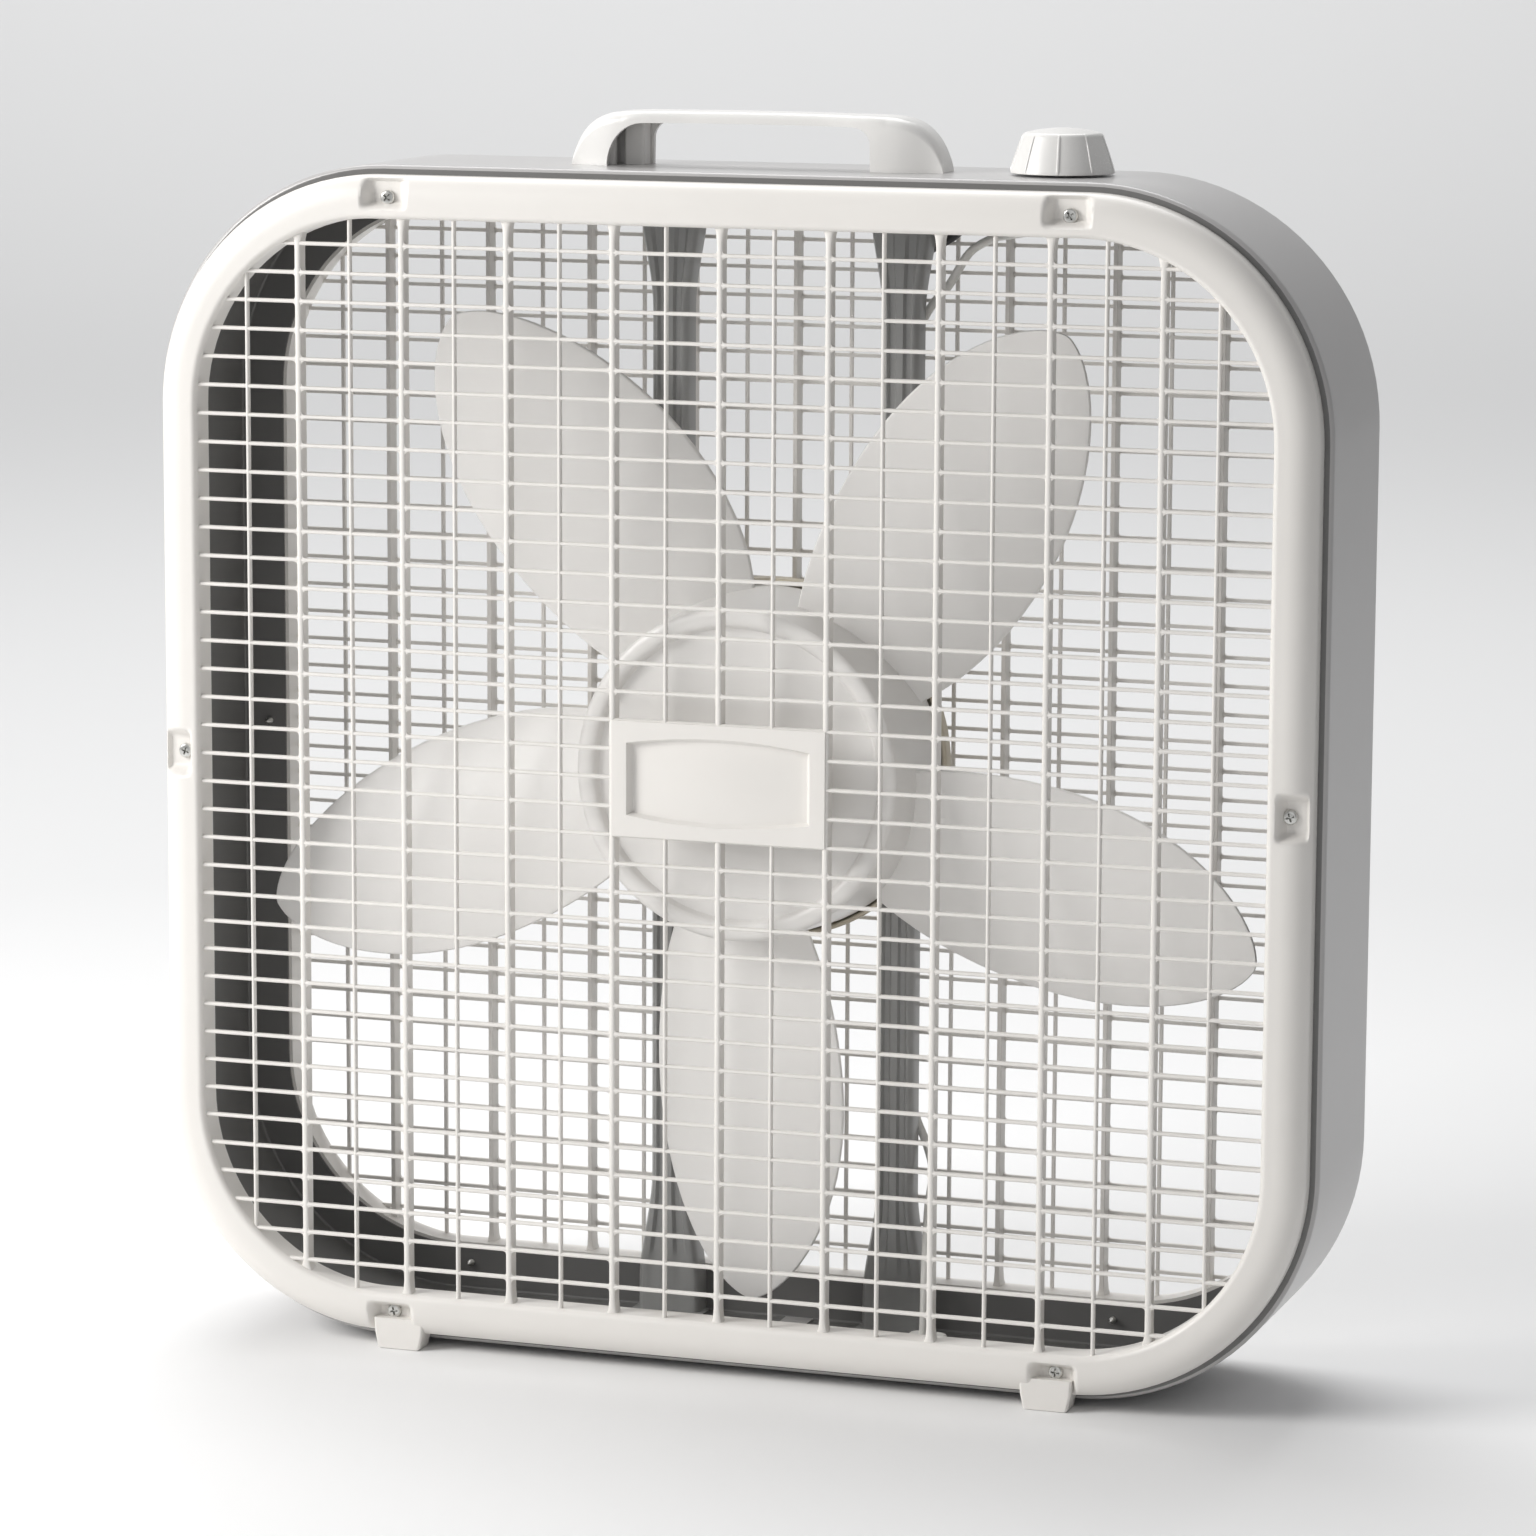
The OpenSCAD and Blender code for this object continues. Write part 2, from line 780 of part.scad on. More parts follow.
module impeller() {
    wall = 2.2;
    ring_r = 2.6;
    ring_mid = hub_r - ring_r;
    flare = 4;
    disc_front = hub_front + ring_r;
    color("#D8D6D2")
    difference() {
        union() {
            facing_front(hub_back) difference() {
                cylinder(r1 = hub_r + flare, r2 = hub_r, h = hub_d - ring_r);
                translate([0, 0, -1])
                    cylinder(r1 = hub_r + flare - wall, r2 = hub_r - wall, h = hub_d - ring_r - wall - 2);
            }
            facing_front(hub_back) translate([0, 0, hub_d - ring_r])
                rotate_extrude() translate([ring_mid, 0]) circle(ring_r, $fn = 32);
            facing_front(sleeve_back) cylinder(r = sleeve_r, h = sleeve_back - disc_front);
            facing_front(blade_mid) difference() {
                for (k = [0:blades - 1]) rotate([0, 0, first_blade + k * 360 / blades]) blade();
                translate([0, 0, -60]) cylinder(r = hub_r - 1, h = 120);
            }
        }
        facing_front(sleeve_back + 1) cylinder(r = shaft_r, h = sleeve_back + 1 - hub_front - 4);
    }
}

module hub_clip() {
    color("silver")
    facing_front(sleeve_back - 0.3) difference() {
        cylinder(r = sleeve_r + 1.2, h = 3);
        translate([0, 0, -1]) cylinder(r = sleeve_r, h = 5);
        translate([0, -1.5, -1]) cube([20, 3, 5]);
    }
}

// ---------- knob and switch ----------

module knob() {
    top_r = 0.76 * knob_r;
    dome = 2;
    dome_r = (top_r * top_r + dome * dome) / (2 * dome);
    skirt = knob_h - dome;
    wall = 2;
    color("#F4F3F1")
    translate([knob_x, 0, case_top + knob_gap]) difference() {
        union() {
            difference() {
                union() {
                    cylinder(r = knob_r, h = 1.5);
                    translate([0, 0, 1.5]) cylinder(r1 = knob_r - 0.3, r2 = top_r, h = skirt - 1.5);
                }
                translate([0, 0, -1])
                    cylinder(r1 = knob_r - wall, r2 = top_r - wall, h = skirt - wall + 1);
            }
            translate([0, 0, skirt - 0.5]) intersection() {
                cylinder(r = top_r, h = dome + 1);
                translate([0, 0, dome + 0.5 - dome_r]) sphere(dome_r, $fn = 120);
            }
            translate([0, 0, 5.5]) cylinder(r = 6, h = skirt - 6);
        }
        translate([0, 0, 0]) cylinder(r = spindle_r, h = 14);
    }
}

module switch_spindle() {
    color("silver")
    translate([knob_x, 0, case_top - 10]) cylinder(r = spindle_r, h = 10 + knob_gap + 14);
}

module switch_body() {
    color("#26262A")
    translate([knob_x, 0, 0]) difference() {
        union() {
            translate([-switch_w / 2, -switch_w / 2, case_top - sheet - switch_h])
                cube([switch_w, switch_w, switch_h]);
            translate([0, 0, case_top - sheet - 1]) cylinder(r = bush_r, h = sheet + 5);
        }
        translate([0, 0, case_top - 10]) cylinder(r = spindle_r + shaft_play, h = 20);
    }
}

module switch_nut() {
    color("silver")
    translate([knob_x, 0, case_top]) hex_nut(8, bush_r, 2.5);
}

module switch_terminals() {
    color("#C9A45A")
    for (i = [-1.5:1:1.5])
        translate([knob_x + i * 7 - 0.4, -3, case_top - sheet - switch_h - 7]) cube([0.8, 5, 7]);
}

// ---------- wiring ----------

module cord_gland() {
    color("#E9E8E4")
    translate([gland_x, gland_y, 0]) difference() {
        union() {
            translate([0, 0, floor_gap + sheet]) linear_extrude(9) round_rect(17, 26, 3);
            translate([0, 0, floor_gap - 1.5]) cylinder(r = gland_r, h = 4);
        }
        translate([0, 0, floor_gap - 3]) cylinder(r = 3.2, h = 14);
    }
}

module gland_nut() {
    color("#E9E8E4")
    translate([gland_x, gland_y, floor_gap - 1.9]) difference() {
        cylinder(r = gland_r + 3, h = 1.9);
        translate([0, 0, -1]) cylinder(r = gland_r, h = 4);
    }
}

module supply_lead() {
    beside = strut_x + lead_aside;
    color("#DDDCD8")
    lead([
        [gland_x, gland_y + 2, floor_gap + sheet + 9],
        [gland_x, gland_y + 3, floor_gap + 18],
        [gland_x - 3, gland_y + 14, floor_gap + 36],
        [gland_x - 8, strut_front - 1, floor_gap + 59],
        [gland_x - 10, lead_over - 1.6, floor_gap + 73],
        [beside + 8, lead_over, floor_gap + 85],
        [beside + 3, lead_over, floor_gap + 97],
        [beside + 0.3, lead_y + 2.5, floor_gap + 111],
        [beside, lead_y, floor_gap + 127],
        [beside, lead_y, floor_gap + 150],
        [beside, lead_y, mid_z],
        [beside, lead_y, case_top - 150],
        [beside, lead_y, case_top - 87],
        [beside + 0.3, lead_y + 2.5, case_top - 77],
        [beside + 3, lead_over, case_top - 67],
        [beside + 8, lead_over, case_top - 59],
        [beside + 15, lead_over - 0.4, case_top - 51],
        [beside + 25, lead_y + 1.5, case_top - 37],
        [knob_x - 40, lead_y - 8, case_top - 30],
        [knob_x - 28, 14, case_top - 27],
        [knob_x - 16, 1, case_top - 24.5],
        [knob_x - 10.8, -0.5, case_top - 22]
    ], lead_r);
}

module motor_lead() {
    beside = strut_x - lead_aside;
    color("#2A2A2C")
    lead([
        [0, plate_front + plate_t + 4, mid_z + 52],
        [14, strut_front + 5, mid_z + 62],
        [beside - 21, strut_back, mid_z + 76],
        [beside - 11, lead_over, mid_z + 90],
        [beside - 4.3, lead_over, mid_z + 104],
        [beside - 0.3, lead_y + 2.5, mid_z + 118],
        [beside, lead_y, mid_z + 134],
        [beside, lead_y, case_top - 98],
        [beside, lead_y, case_top - 68],
        [beside + 0.7, lead_y + 2.5, case_top - 55],
        [beside + 4.7, lead_over, case_top - 45],
        [beside + 12.7, lead_over, case_top - 37],
        [beside + 23, lead_over - 0.2, case_top - 31],
        [beside + 33, lead_y - 0.5, case_top - 24],
        [knob_x - 40, lead_y - 12, case_top - 18],
        [knob_x - 22, 17, case_top - 19],
        [knob_x - 8, 14, case_top - 21],
        [knob_x + 2, 9, case_top - 21.5],
        [knob_x + 3.5, 2.2, case_top - 21.5]
    ], lead_r);
}

module lead_clips() {
    color("#E9E8E4")
    for (place = [
        [lead_aside, floor_gap + 150],
        [lead_aside, case_top - 150],
        [-lead_aside, case_top - 98]
    ])
        translate([strut_x + place[0], lead_y, place[1]]) difference() {
            translate([-3.1, -3, -4]) cube([6.2, 6, 8]);
            translate([0, 0, -5]) cylinder(r = lead_r + 0.2, h = 10);
        }
}

case_band();
front_grille();
rear_grille();
front_grille_screws();
rear_grille_screws();
carry_handle();
handle_screws();
left_strut();
right_strut();
strut_screws();
motor_plate();
motor_grommets();
motor_plate_screws();
motor_plate_nuts();
stator_core();
field_coils();
shading_rings();
front_bell();
rear_bell();
motor_bolts();
motor_nuts();
front_bearing();
rear_bearing();
impeller();
hub_clip();
motor_shaft();
rotor_core();
thrust_washers();
knob();
switch_spindle();
switch_body();
switch_nut();
switch_terminals();
cord_gland();
gland_nut();
supply_lead();
motor_lead();
lead_clips();
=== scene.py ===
"""Looks of the box fan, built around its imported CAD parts.

Shapes are worked out in millimetres in the CAD frame: X to the right, Y to the back, Z up.
A grille, the impeller and the screws are drawn as seen from the front, in their own plane:
across, up from the fan's axis, and forward.
"""

import math

import bmesh
import bpy
from mathutils import Matrix, Vector


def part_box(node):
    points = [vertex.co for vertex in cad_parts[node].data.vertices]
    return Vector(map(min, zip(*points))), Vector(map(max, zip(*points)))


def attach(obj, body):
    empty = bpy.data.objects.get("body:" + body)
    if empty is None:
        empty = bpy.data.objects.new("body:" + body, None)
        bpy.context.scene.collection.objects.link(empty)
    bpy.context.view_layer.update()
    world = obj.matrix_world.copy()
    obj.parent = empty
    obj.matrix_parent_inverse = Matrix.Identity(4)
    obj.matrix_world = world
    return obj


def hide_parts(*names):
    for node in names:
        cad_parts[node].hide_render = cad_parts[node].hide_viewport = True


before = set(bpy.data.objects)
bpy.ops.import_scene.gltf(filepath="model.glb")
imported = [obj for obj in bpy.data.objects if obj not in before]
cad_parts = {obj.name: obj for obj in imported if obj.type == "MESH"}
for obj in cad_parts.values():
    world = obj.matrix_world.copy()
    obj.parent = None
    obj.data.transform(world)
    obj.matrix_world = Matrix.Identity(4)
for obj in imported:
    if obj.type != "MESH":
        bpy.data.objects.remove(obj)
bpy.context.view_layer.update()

MM = 0.001


def box_mm(node):
    """Lowest and highest corner of a CAD node, in millimetres."""
    low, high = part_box(node)
    return low / MM, high / MM


case_low, case_high = box_mm("case_band")
rim_low, rim_high = box_mm("front_grille")
hub_low, hub_high = box_mm("impeller")
strut_low, strut_high = box_mm("right_strut")
plate_low, plate_high = box_mm("motor_plate")
handle_low, handle_high = box_mm("carry_handle")
knob_low, knob_high = box_mm("knob")

# ---------- sizes shared by several pieces ----------

CASE_W = case_high.x - case_low.x
CASE_H = case_high.z - case_low.z
CASE_D = case_high.y - case_low.y
CASE_TOP = case_high.z
MID_Z = (case_low.z + case_high.z) / 2
CASE_R = 106
SHEET = 1
FLANGE_W = 21

GRILLE_W = rim_high.x - rim_low.x
RIM_INSET = (CASE_W - GRILLE_W) / 2
GRILLE_H = CASE_H - 2 * RIM_INSET
RIM_W = 18.5
RIM_D = case_low.y - rim_low.y
RIM_WALL = 2.2
OPEN_W = GRILLE_W - 2 * RIM_W
OPEN_H = GRILLE_H - 2 * RIM_W
OPEN_R = CASE_R - RIM_INSET - RIM_W
BAR_DX = 24.2
BAR_DZ = 12.55
BARS_X = 9
BARS_Z = 18
BAR_FRONT = RIM_D - 2.5
THIN_BAR = 1.7
THICK_BAR = 2.8
BAR_T = 2.2
RIB_D = 7
FOOT_X = 149
SCREW_X = 152.5
SCREW_IN = 9.5
POCKET_FLOOR = 7


# ---------- mesh building ----------

def spread(start, stop, count):
    """count evenly spaced values from start to stop, both included."""
    return [start + (stop - start) * k / (count - 1) for k in range(count)]


def ease(x, low, high):
    """0 below low, 1 above high, and a smooth rise between them."""
    t = min(max((x - low) / (high - low), 0), 1)
    return t * t * (3 - 2 * t)


def arc(centre, radius, start, stop, count):
    """Points on an arc in a plane. The radius is one number, or one for each direction."""
    rx, ry = radius if isinstance(radius, tuple) else (radius, radius)
    return [
        (centre[0] + rx * math.cos(math.radians(a)), centre[1] + ry * math.sin(math.radians(a)))
        for a in spread(start, stop, count)
    ]


class Shape:
    """Points in millimetres, and the faces between them."""

    def __init__(self):
        self.points = []
        self.faces = []

    def grid(self, rows, rows_close=False, columns_close=False):
        """Faces between rows of points of the same length. Returns the first point's number."""
        start = len(self.points)
        width = len(rows[0])
        for row in rows:
            self.points.extend(Vector(p) for p in row)
        for i in range(len(rows) if rows_close else len(rows) - 1):
            here = start + i * width
            following = start + (i + 1) % len(rows) * width
            for k in range(width if columns_close else width - 1):
                m = (k + 1) % width
                self.faces.append((here + k, here + m, following + m, following + k))
        return start

    def loft(self, rings, closed=False):
        """A solid through rings of points, closed in itself or capped at both ends."""
        start = self.grid(rings, rows_close=closed, columns_close=True)
        if not closed:
            width = len(rings[0])
            last = start + (len(rings) - 1) * width
            self.faces.append(tuple(range(start, start + width))[::-1])
            self.faces.append(tuple(range(last, last + width)))

    def add(self, other, matrix=Matrix.Identity(4)):
        """Takes in a copy of another shape, moved by matrix."""
        start = len(self.points)
        self.points.extend(matrix @ p for p in other.points)
        self.faces.extend(tuple(start + k for k in face) for face in other.faces)

    def moved(self, rule):
        """The same faces on points that rule has moved."""
        result = Shape()
        result.points = [Vector(rule(p)) for p in self.points]
        result.faces = list(self.faces)
        return result

    def mesh(self, name):
        """A mesh in metres, with its doubled points joined and its faces turned outward."""
        mesh = bpy.data.meshes.new(name)
        mesh.from_pydata([p * MM for p in self.points], [], self.faces)
        tidy = bmesh.new()
        tidy.from_mesh(mesh)
        bmesh.ops.remove_doubles(tidy, verts=tidy.verts, dist=0.004 * MM)
        loose = [edge for edge in tidy.edges if not edge.link_faces]
        bmesh.ops.delete(tidy, geom=loose, context="EDGES")
        bmesh.ops.recalc_face_normals(tidy, faces=tidy.faces)
        tidy.to_mesh(mesh)
        tidy.free()
        return mesh


def facing_front(p):
    """From a front view's across, up and forward to the CAD frame."""
    return Vector((p[0], -p[2], MID_Z + p[1]))


def on_front(shape):
    """A grille shape, whose forward distance is from the front of the case, in its place."""
    return shape.moved(lambda p: facing_front((p[0], p[1], p[2] - case_low.y)))


def on_back(shape):
    """The mirror of on_front."""
    return shape.moved(lambda p: (p[0], p[2] + case_high.y, MID_Z + p[1]))


def show(name, shape, body, nodes, material, sharp=38, soften=0):
    """Makes a piece from a shape, in place of CAD nodes."""
    mesh = shape.mesh(name)
    mesh.materials.append(material)
    mesh.shade_smooth()
    mesh.set_sharp_from_angle(angle=math.radians(sharp))
    piece = bpy.data.objects.new(name, mesh)
    bpy.context.scene.collection.objects.link(piece)
    if soften:
        bevel = piece.modifiers.new("soft_edges", "BEVEL")
        bevel.width = soften * MM
        bevel.segments = 2
        bevel.limit_method = "ANGLE"
        bevel.angle_limit = math.radians(40)
    normals = piece.modifiers.new("flat_faces", "WEIGHTED_NORMAL")
    normals.keep_sharp = True
    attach(piece, body)
    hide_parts(*nodes)
    return piece


def cut(piece, cutters):
    """Takes closed shapes out of a piece."""
    name = piece.name + "_cutter"
    tool = bpy.data.objects.new(name, cutters.mesh(name))
    bpy.context.scene.collection.objects.link(tool)
    boolean = piece.modifiers.new("cut", "BOOLEAN")
    boolean.operation = "DIFFERENCE"
    boolean.solver = "EXACT"
    boolean.object = tool
    bpy.context.view_layer.update()
    graph = bpy.context.evaluated_depsgraph_get()
    for other in piece.modifiers:
        other.show_viewport = other.name == boolean.name
    graph.update()
    result = bpy.data.meshes.new_from_object(piece.evaluated_get(graph))
    piece.modifiers.remove(boolean)
    for other in piece.modifiers:
        other.show_viewport = True
    piece.data = result
    bpy.data.objects.remove(tool)


def block(low, high, round_r=0.0, steps=4):
    """A block between two corners, with its upright edges rounded."""
    shape = Shape()
    outline = rounded_outline(
        (high[0] - low[0]) / 2, (high[1] - low[1]) / 2, max(round_r, 0.01), steps
    )
    cx, cy = (low[0] + high[0]) / 2, (low[1] + high[1]) / 2
    shape.loft([[(cx + x, cy + y, z) for x, y in outline] for z in (low[2], high[2])])
    return shape


def rounded_outline(half_w, half_h, r, steps):
    """Points of a rectangle with round corners, around the origin."""
    points = []
    for quarter, (sx, sy) in enumerate([(1, 1), (-1, 1), (-1, -1), (1, -1)]):
        points += arc(
            (sx * (half_w - r), sy * (half_h - r)), r, 90 * quarter, 90 * quarter + 90, steps + 1
        )
    return points


def revolve(profile, count, place=lambda x, y, z: (x, y, z)):
    """A solid of revolution from a profile of radius and height; place puts it in its frame."""
    shape = Shape()
    rings = []
    for k in range(count):
        a = 2 * math.pi * k / count
        rings.append([place(r * math.cos(a), r * math.sin(a), h) for r, h in profile])
    shape.grid(rings, rows_close=True, columns_close=True)
    return shape


def tube(route, radius, sides=14, per_span=6):
    """A round tube along the smooth curve through the points of a route."""
    points = [Vector(p) for p in route]
    last = len(points) - 1
    path = []
    for k in range(last * per_span + 1):
        i = min(k // per_span, last - 1)
        t = k / per_span - i
        a, b = points[max(i - 1, 0)], points[i]
        c, d = points[i + 1], points[min(i + 2, last)]
        path.append(
            0.5 * (2 * b + (c - a) * t + (2 * a - 5 * b + 4 * c - d) * t * t
                   + (3 * b - a - 3 * c + d) * t ** 3)
        )
    rings = []
    side = Vector((0.31, 0.87, 0.38))
    for k, p in enumerate(path):
        along = (path[min(k + 1, len(path) - 1)] - path[max(k - 1, 0)]).normalized()
        side = (side - along * side.dot(along)).normalized()
        other = along.cross(side)
        rings.append([
            p + radius * (side * math.cos(a) + other * math.sin(a))
            for a in spread(0, 2 * math.pi * (sides - 1) / sides, sides)
        ])
    shape = Shape()
    shape.loft(rings)
    return shape


# ---------- materials ----------

def finish(name, colour, roughness, vary=0.03, patch=60.0, grain=0.8, bump=0.02, metal=0.0,
           coat=0.0, streaks=None, wave=0.0, wave_size=40.0):
    """A procedural finish. Sizes are in millimetres.

    vary and patch are the strength and size of its uneven colour, grain and bump the size and
    height of its texture, wave and wave_size those of its slow unevenness, and streaks stretches
    its patches along an axis.
    """
    material = bpy.data.materials.new(name)
    material.use_nodes = True
    nodes, links = material.node_tree.nodes, material.node_tree.links
    shader = nodes["Principled BSDF"]
    shader.inputs["Metallic"].default_value = metal
    shader.inputs["Coat Weight"].default_value = coat
    shader.inputs["Coat Roughness"].default_value = 0.12

    place = nodes.new("ShaderNodeTexCoord")
    stretch = nodes.new("ShaderNodeMapping")
    stretch.inputs["Scale"].default_value = streaks or (1, 1, 1)
    links.new(place.outputs["Object"], stretch.inputs["Vector"])

    def noise(size, detail, source):
        texture = nodes.new("ShaderNodeTexNoise")
        texture.inputs["Scale"].default_value = 1 / (size * MM)
        texture.inputs["Detail"].default_value = detail
        texture.inputs["Roughness"].default_value = 0.55
        links.new(source, texture.inputs["Vector"])
        return texture.outputs["Fac"]

    patches = noise(patch, 4, stretch.outputs["Vector"])
    specks = noise(grain, 2, place.outputs["Object"])

    ramp = nodes.new("ShaderNodeValToRGB")
    ramp.color_ramp.elements[0].position = 0.3
    ramp.color_ramp.elements[1].position = 0.7
    for element, side in zip(ramp.color_ramp.elements, (-1, 1)):
        element.color = [min(max(c * (1 + side * vary), 0), 1) for c in colour] + [1]
    links.new(patches, ramp.inputs["Fac"])
    links.new(ramp.outputs["Color"], shader.inputs["Base Color"])

    gloss = nodes.new("ShaderNodeMapRange")
    gloss.inputs["To Min"].default_value = roughness * 0.82
    gloss.inputs["To Max"].default_value = min(roughness * 1.18, 1)
    both = nodes.new("ShaderNodeMath")
    both.operation = "MULTIPLY_ADD"
    both.inputs[1].default_value = 0.5
    links.new(specks, both.inputs[0])
    half = nodes.new("ShaderNodeMath")
    half.operation = "MULTIPLY"
    half.inputs[1].default_value = 0.5
    links.new(patches, half.inputs[0])
    links.new(half.outputs[0], both.inputs[2])
    links.new(both.outputs[0], gloss.inputs["Value"])
    links.new(gloss.outputs["Result"], shader.inputs["Roughness"])

    fine = nodes.new("ShaderNodeBump")
    fine.inputs["Distance"].default_value = bump * MM
    links.new(specks, fine.inputs["Height"])
    if wave:
        slow = nodes.new("ShaderNodeBump")
        slow.inputs["Distance"].default_value = wave * MM
        links.new(noise(wave_size, 1, stretch.outputs["Vector"]), slow.inputs["Height"])
        links.new(slow.outputs["Normal"], fine.inputs["Normal"])
    links.new(fine.outputs["Normal"], shader.inputs["Normal"])
    return material


white_plastic = finish("white_plastic", (0.80, 0.775, 0.74), 0.36, vary=0.02, patch=90, bump=0.015,
                       wave=0.12, wave_size=35)
handle_plastic = finish("handle_plastic", (0.82, 0.81, 0.79), 0.26, vary=0.015, bump=0.01)
blade_plastic = finish("blade_plastic", (0.88, 0.865, 0.845), 0.34, vary=0.02, patch=120,
                       bump=0.015, wave=0.25, wave_size=50, streaks=(1.6, 1, 0.35))
# Darker grey for the flanges and the inside: a dark backer coat, with painted shade mixed in.
backer_paint_and_painted_shade = finish("backer_paint_and_painted_shade", (0.17, 0.168, 0.165), 0.3, vary=0.03, patch=70, grain=1.2,
                    bump=0.012, coat=0.2)
case_paint = finish("case_paint", (0.46, 0.45, 0.445), 0.3, vary=0.025, patch=70, grain=1.2,
                    bump=0.02, coat=0.15, wave=0.1, wave_size=60)
strut_paint = finish("strut_paint", (0.34, 0.34, 0.335), 0.3, vary=0.07, patch=14, bump=0.02,
                     streaks=(1, 1, 0.08), coat=0.2)
plate_plastic = finish("plate_plastic", (0.62, 0.56, 0.45), 0.42, vary=0.04, bump=0.02)
zinc = finish("zinc", (0.62, 0.62, 0.60), 0.3, vary=0.12, patch=1.6, grain=0.3, bump=0.02, metal=1)
rubber = finish("rubber", (0.03, 0.03, 0.03), 0.7, vary=0.2, patch=5, bump=0.05)
core_steel = finish("core_steel", (0.18, 0.18, 0.19), 0.45, vary=0.2, patch=6, metal=1,
                    streaks=(1, 18, 1), bump=0.05)
copper = finish("copper", (0.55, 0.2, 0.08), 0.35, vary=0.2, patch=2, metal=1,
                streaks=(1, 9, 1), bump=0.08)
bell_alloy = finish("bell_alloy", (0.45, 0.45, 0.46), 0.42, vary=0.1, patch=8, metal=1, bump=0.04)
bronze = finish("bronze", (0.5, 0.33, 0.15), 0.4, vary=0.12, patch=3, metal=1, bump=0.03)
shaft_steel = finish("shaft_steel", (0.65, 0.65, 0.66), 0.2, vary=0.08, patch=3, metal=1,
                     streaks=(1, 14, 1), bump=0.01)
switch_plastic = finish("switch_plastic", (0.035, 0.035, 0.04), 0.5, vary=0.15, bump=0.04)
brass = finish("brass", (0.7, 0.5, 0.2), 0.3, vary=0.1, patch=2, metal=1, bump=0.02)
fibre = finish("fibre", (0.08, 0.055, 0.035), 0.75, vary=0.3, patch=2, bump=0.06)
gland_plastic = finish("gland_plastic", (0.78, 0.77, 0.74), 0.4, vary=0.03, bump=0.02)
lead_white = finish("lead_white", (0.70, 0.69, 0.66), 0.45, vary=0.04, patch=12, bump=0.02)
lead_dark = finish("lead_dark", (0.03, 0.03, 0.032), 0.5, vary=0.15, patch=12, bump=0.02)


# ---------- grilles ----------

def around(half_w, half_h, r, fine_places=()):
    """Stations around a rectangle with round corners: each is a point and its outward direction.

    Stations are close together near fine_places, which are points (across, up).
    """
    reach = 14
    stations = []
    sides = [
        (Vector((half_w, 0)), Vector((0, 1)), half_h - r),
        (Vector((0, half_h)), Vector((-1, 0)), half_w - r),
        (Vector((-half_w, 0)), Vector((0, -1)), half_h - r),
        (Vector((0, -half_h)), Vector((1, 0)), half_w - r),
    ]
    for middle, along, half in sides:
        out = Vector((along.y, -along.x))
        spots = set(spread(-half, half, 13))
        near = [
            Vector(p).dot(along)
            for p in fine_places if (Vector(p) - middle).dot(out) > -RIM_W * 1.5
        ]
        for s in near:
            spots |= {round(s + k, 3) for k in range(-reach, reach + 1) if abs(s + k) < half}
        for s in sorted(spots):
            stations.append((middle + along * s, out))
        centre = middle + along * half - out * r
        angles = set(spread(0, 90, 25))
        if near and max(abs(s) for s in near) > half - reach:
            angles |= {0.6 * k for k in range(1, 16)}
        turned = 90 - max(angles)
        next_near = [
            s for s in (Vector(p) for p in fine_places)
            if abs(s.dot(along) - (centre.dot(along) + r)) < RIM_W * 1.5
            and abs(s.dot(out) - centre.dot(out)) < reach
        ]
        if next_near:
            angles |= {90 - 0.6 * k for k in range(1, 16)}
        for a in sorted(angles)[1:-1]:
            turn = math.radians(a + turned)
            direction = out * math.cos(turn) + along * math.sin(turn)
            stations.append((centre + direction * r, direction))
    return stations


SCREWS = [(sx * SCREW_X, sy * (GRILLE_H / 2 - SCREW_IN)) for sx in (-1, 1) for sy in (-1, 1)]
SCREWS += [(sx * (GRILLE_W / 2 - SCREW_IN), 0) for sx in (-1, 1)]


def pocket(p, across):
    """How far a screw pocket is sunk at a point of the rim: 0 for not, 1 for its floor."""
    deepest = 0
    for sx, sy in SCREWS:
        if abs(p.x - sx) > 30 or abs(p.y - sy) > 30:
            continue
        beside = abs(p.x - sx) if sy else abs(p.y)
        deepest = max(deepest, 1 - ease(beside, 6.2, 11))
    inner = ease(across, RIM_W - 15, RIM_W - 11)
    outer = 1 - ease(across, RIM_W - 2.6, RIM_W - 0.6)
    return deepest * inner * outer


def rim():
    """The rounded rim, a channel that is open to the back, with its sunk screw pockets."""
    inner_w, inner_d = 2.6, 3.0
    outer_w, outer_d = 12.0, 8.0
    front = [(0.0, 0.0), (0.0, RIM_D / 2)]
    front += arc((inner_w, RIM_D - inner_d), (inner_w, inner_d), 180, 90, 7)
    front += [(across, RIM_D) for across in spread(inner_w + 0.6, RIM_W - outer_w - 0.6, 6)]
    front += arc((RIM_W - outer_w, RIM_D - outer_d), (outer_w, outer_d), 90, 0, 22)
    front += [(RIM_W, 0.0)]
    w, d = RIM_WALL, RIM_D - RIM_WALL
    behind = [(RIM_W - w, 0), (RIM_W - w, 4.5), (RIM_W - 5, 8.2), (RIM_W - 9, 10.6),
              (6, d), (3.4, d), (w, d - 2), (w, 0)]
    shape = Shape()
    rings = []
    for p, out in around(OPEN_W / 2, OPEN_H / 2, OPEN_R, SCREWS):
        ring = []
        for across, height in front:
            at = p + out * across
            sunk = pocket(at, across) * max(height - POCKET_FLOOR, 0)
            ring.append((at.x, at.y, height - sunk))
        for across, height in behind:
            at = p + out * across
            sunk = pocket(at, min(across, RIM_W - 4)) * max(height - POCKET_FLOOR + 2, 0)
            ring.append((at.x, at.y, height - sunk))
        rings.append(ring)
    shape.loft(rings, closed=True)
    return shape


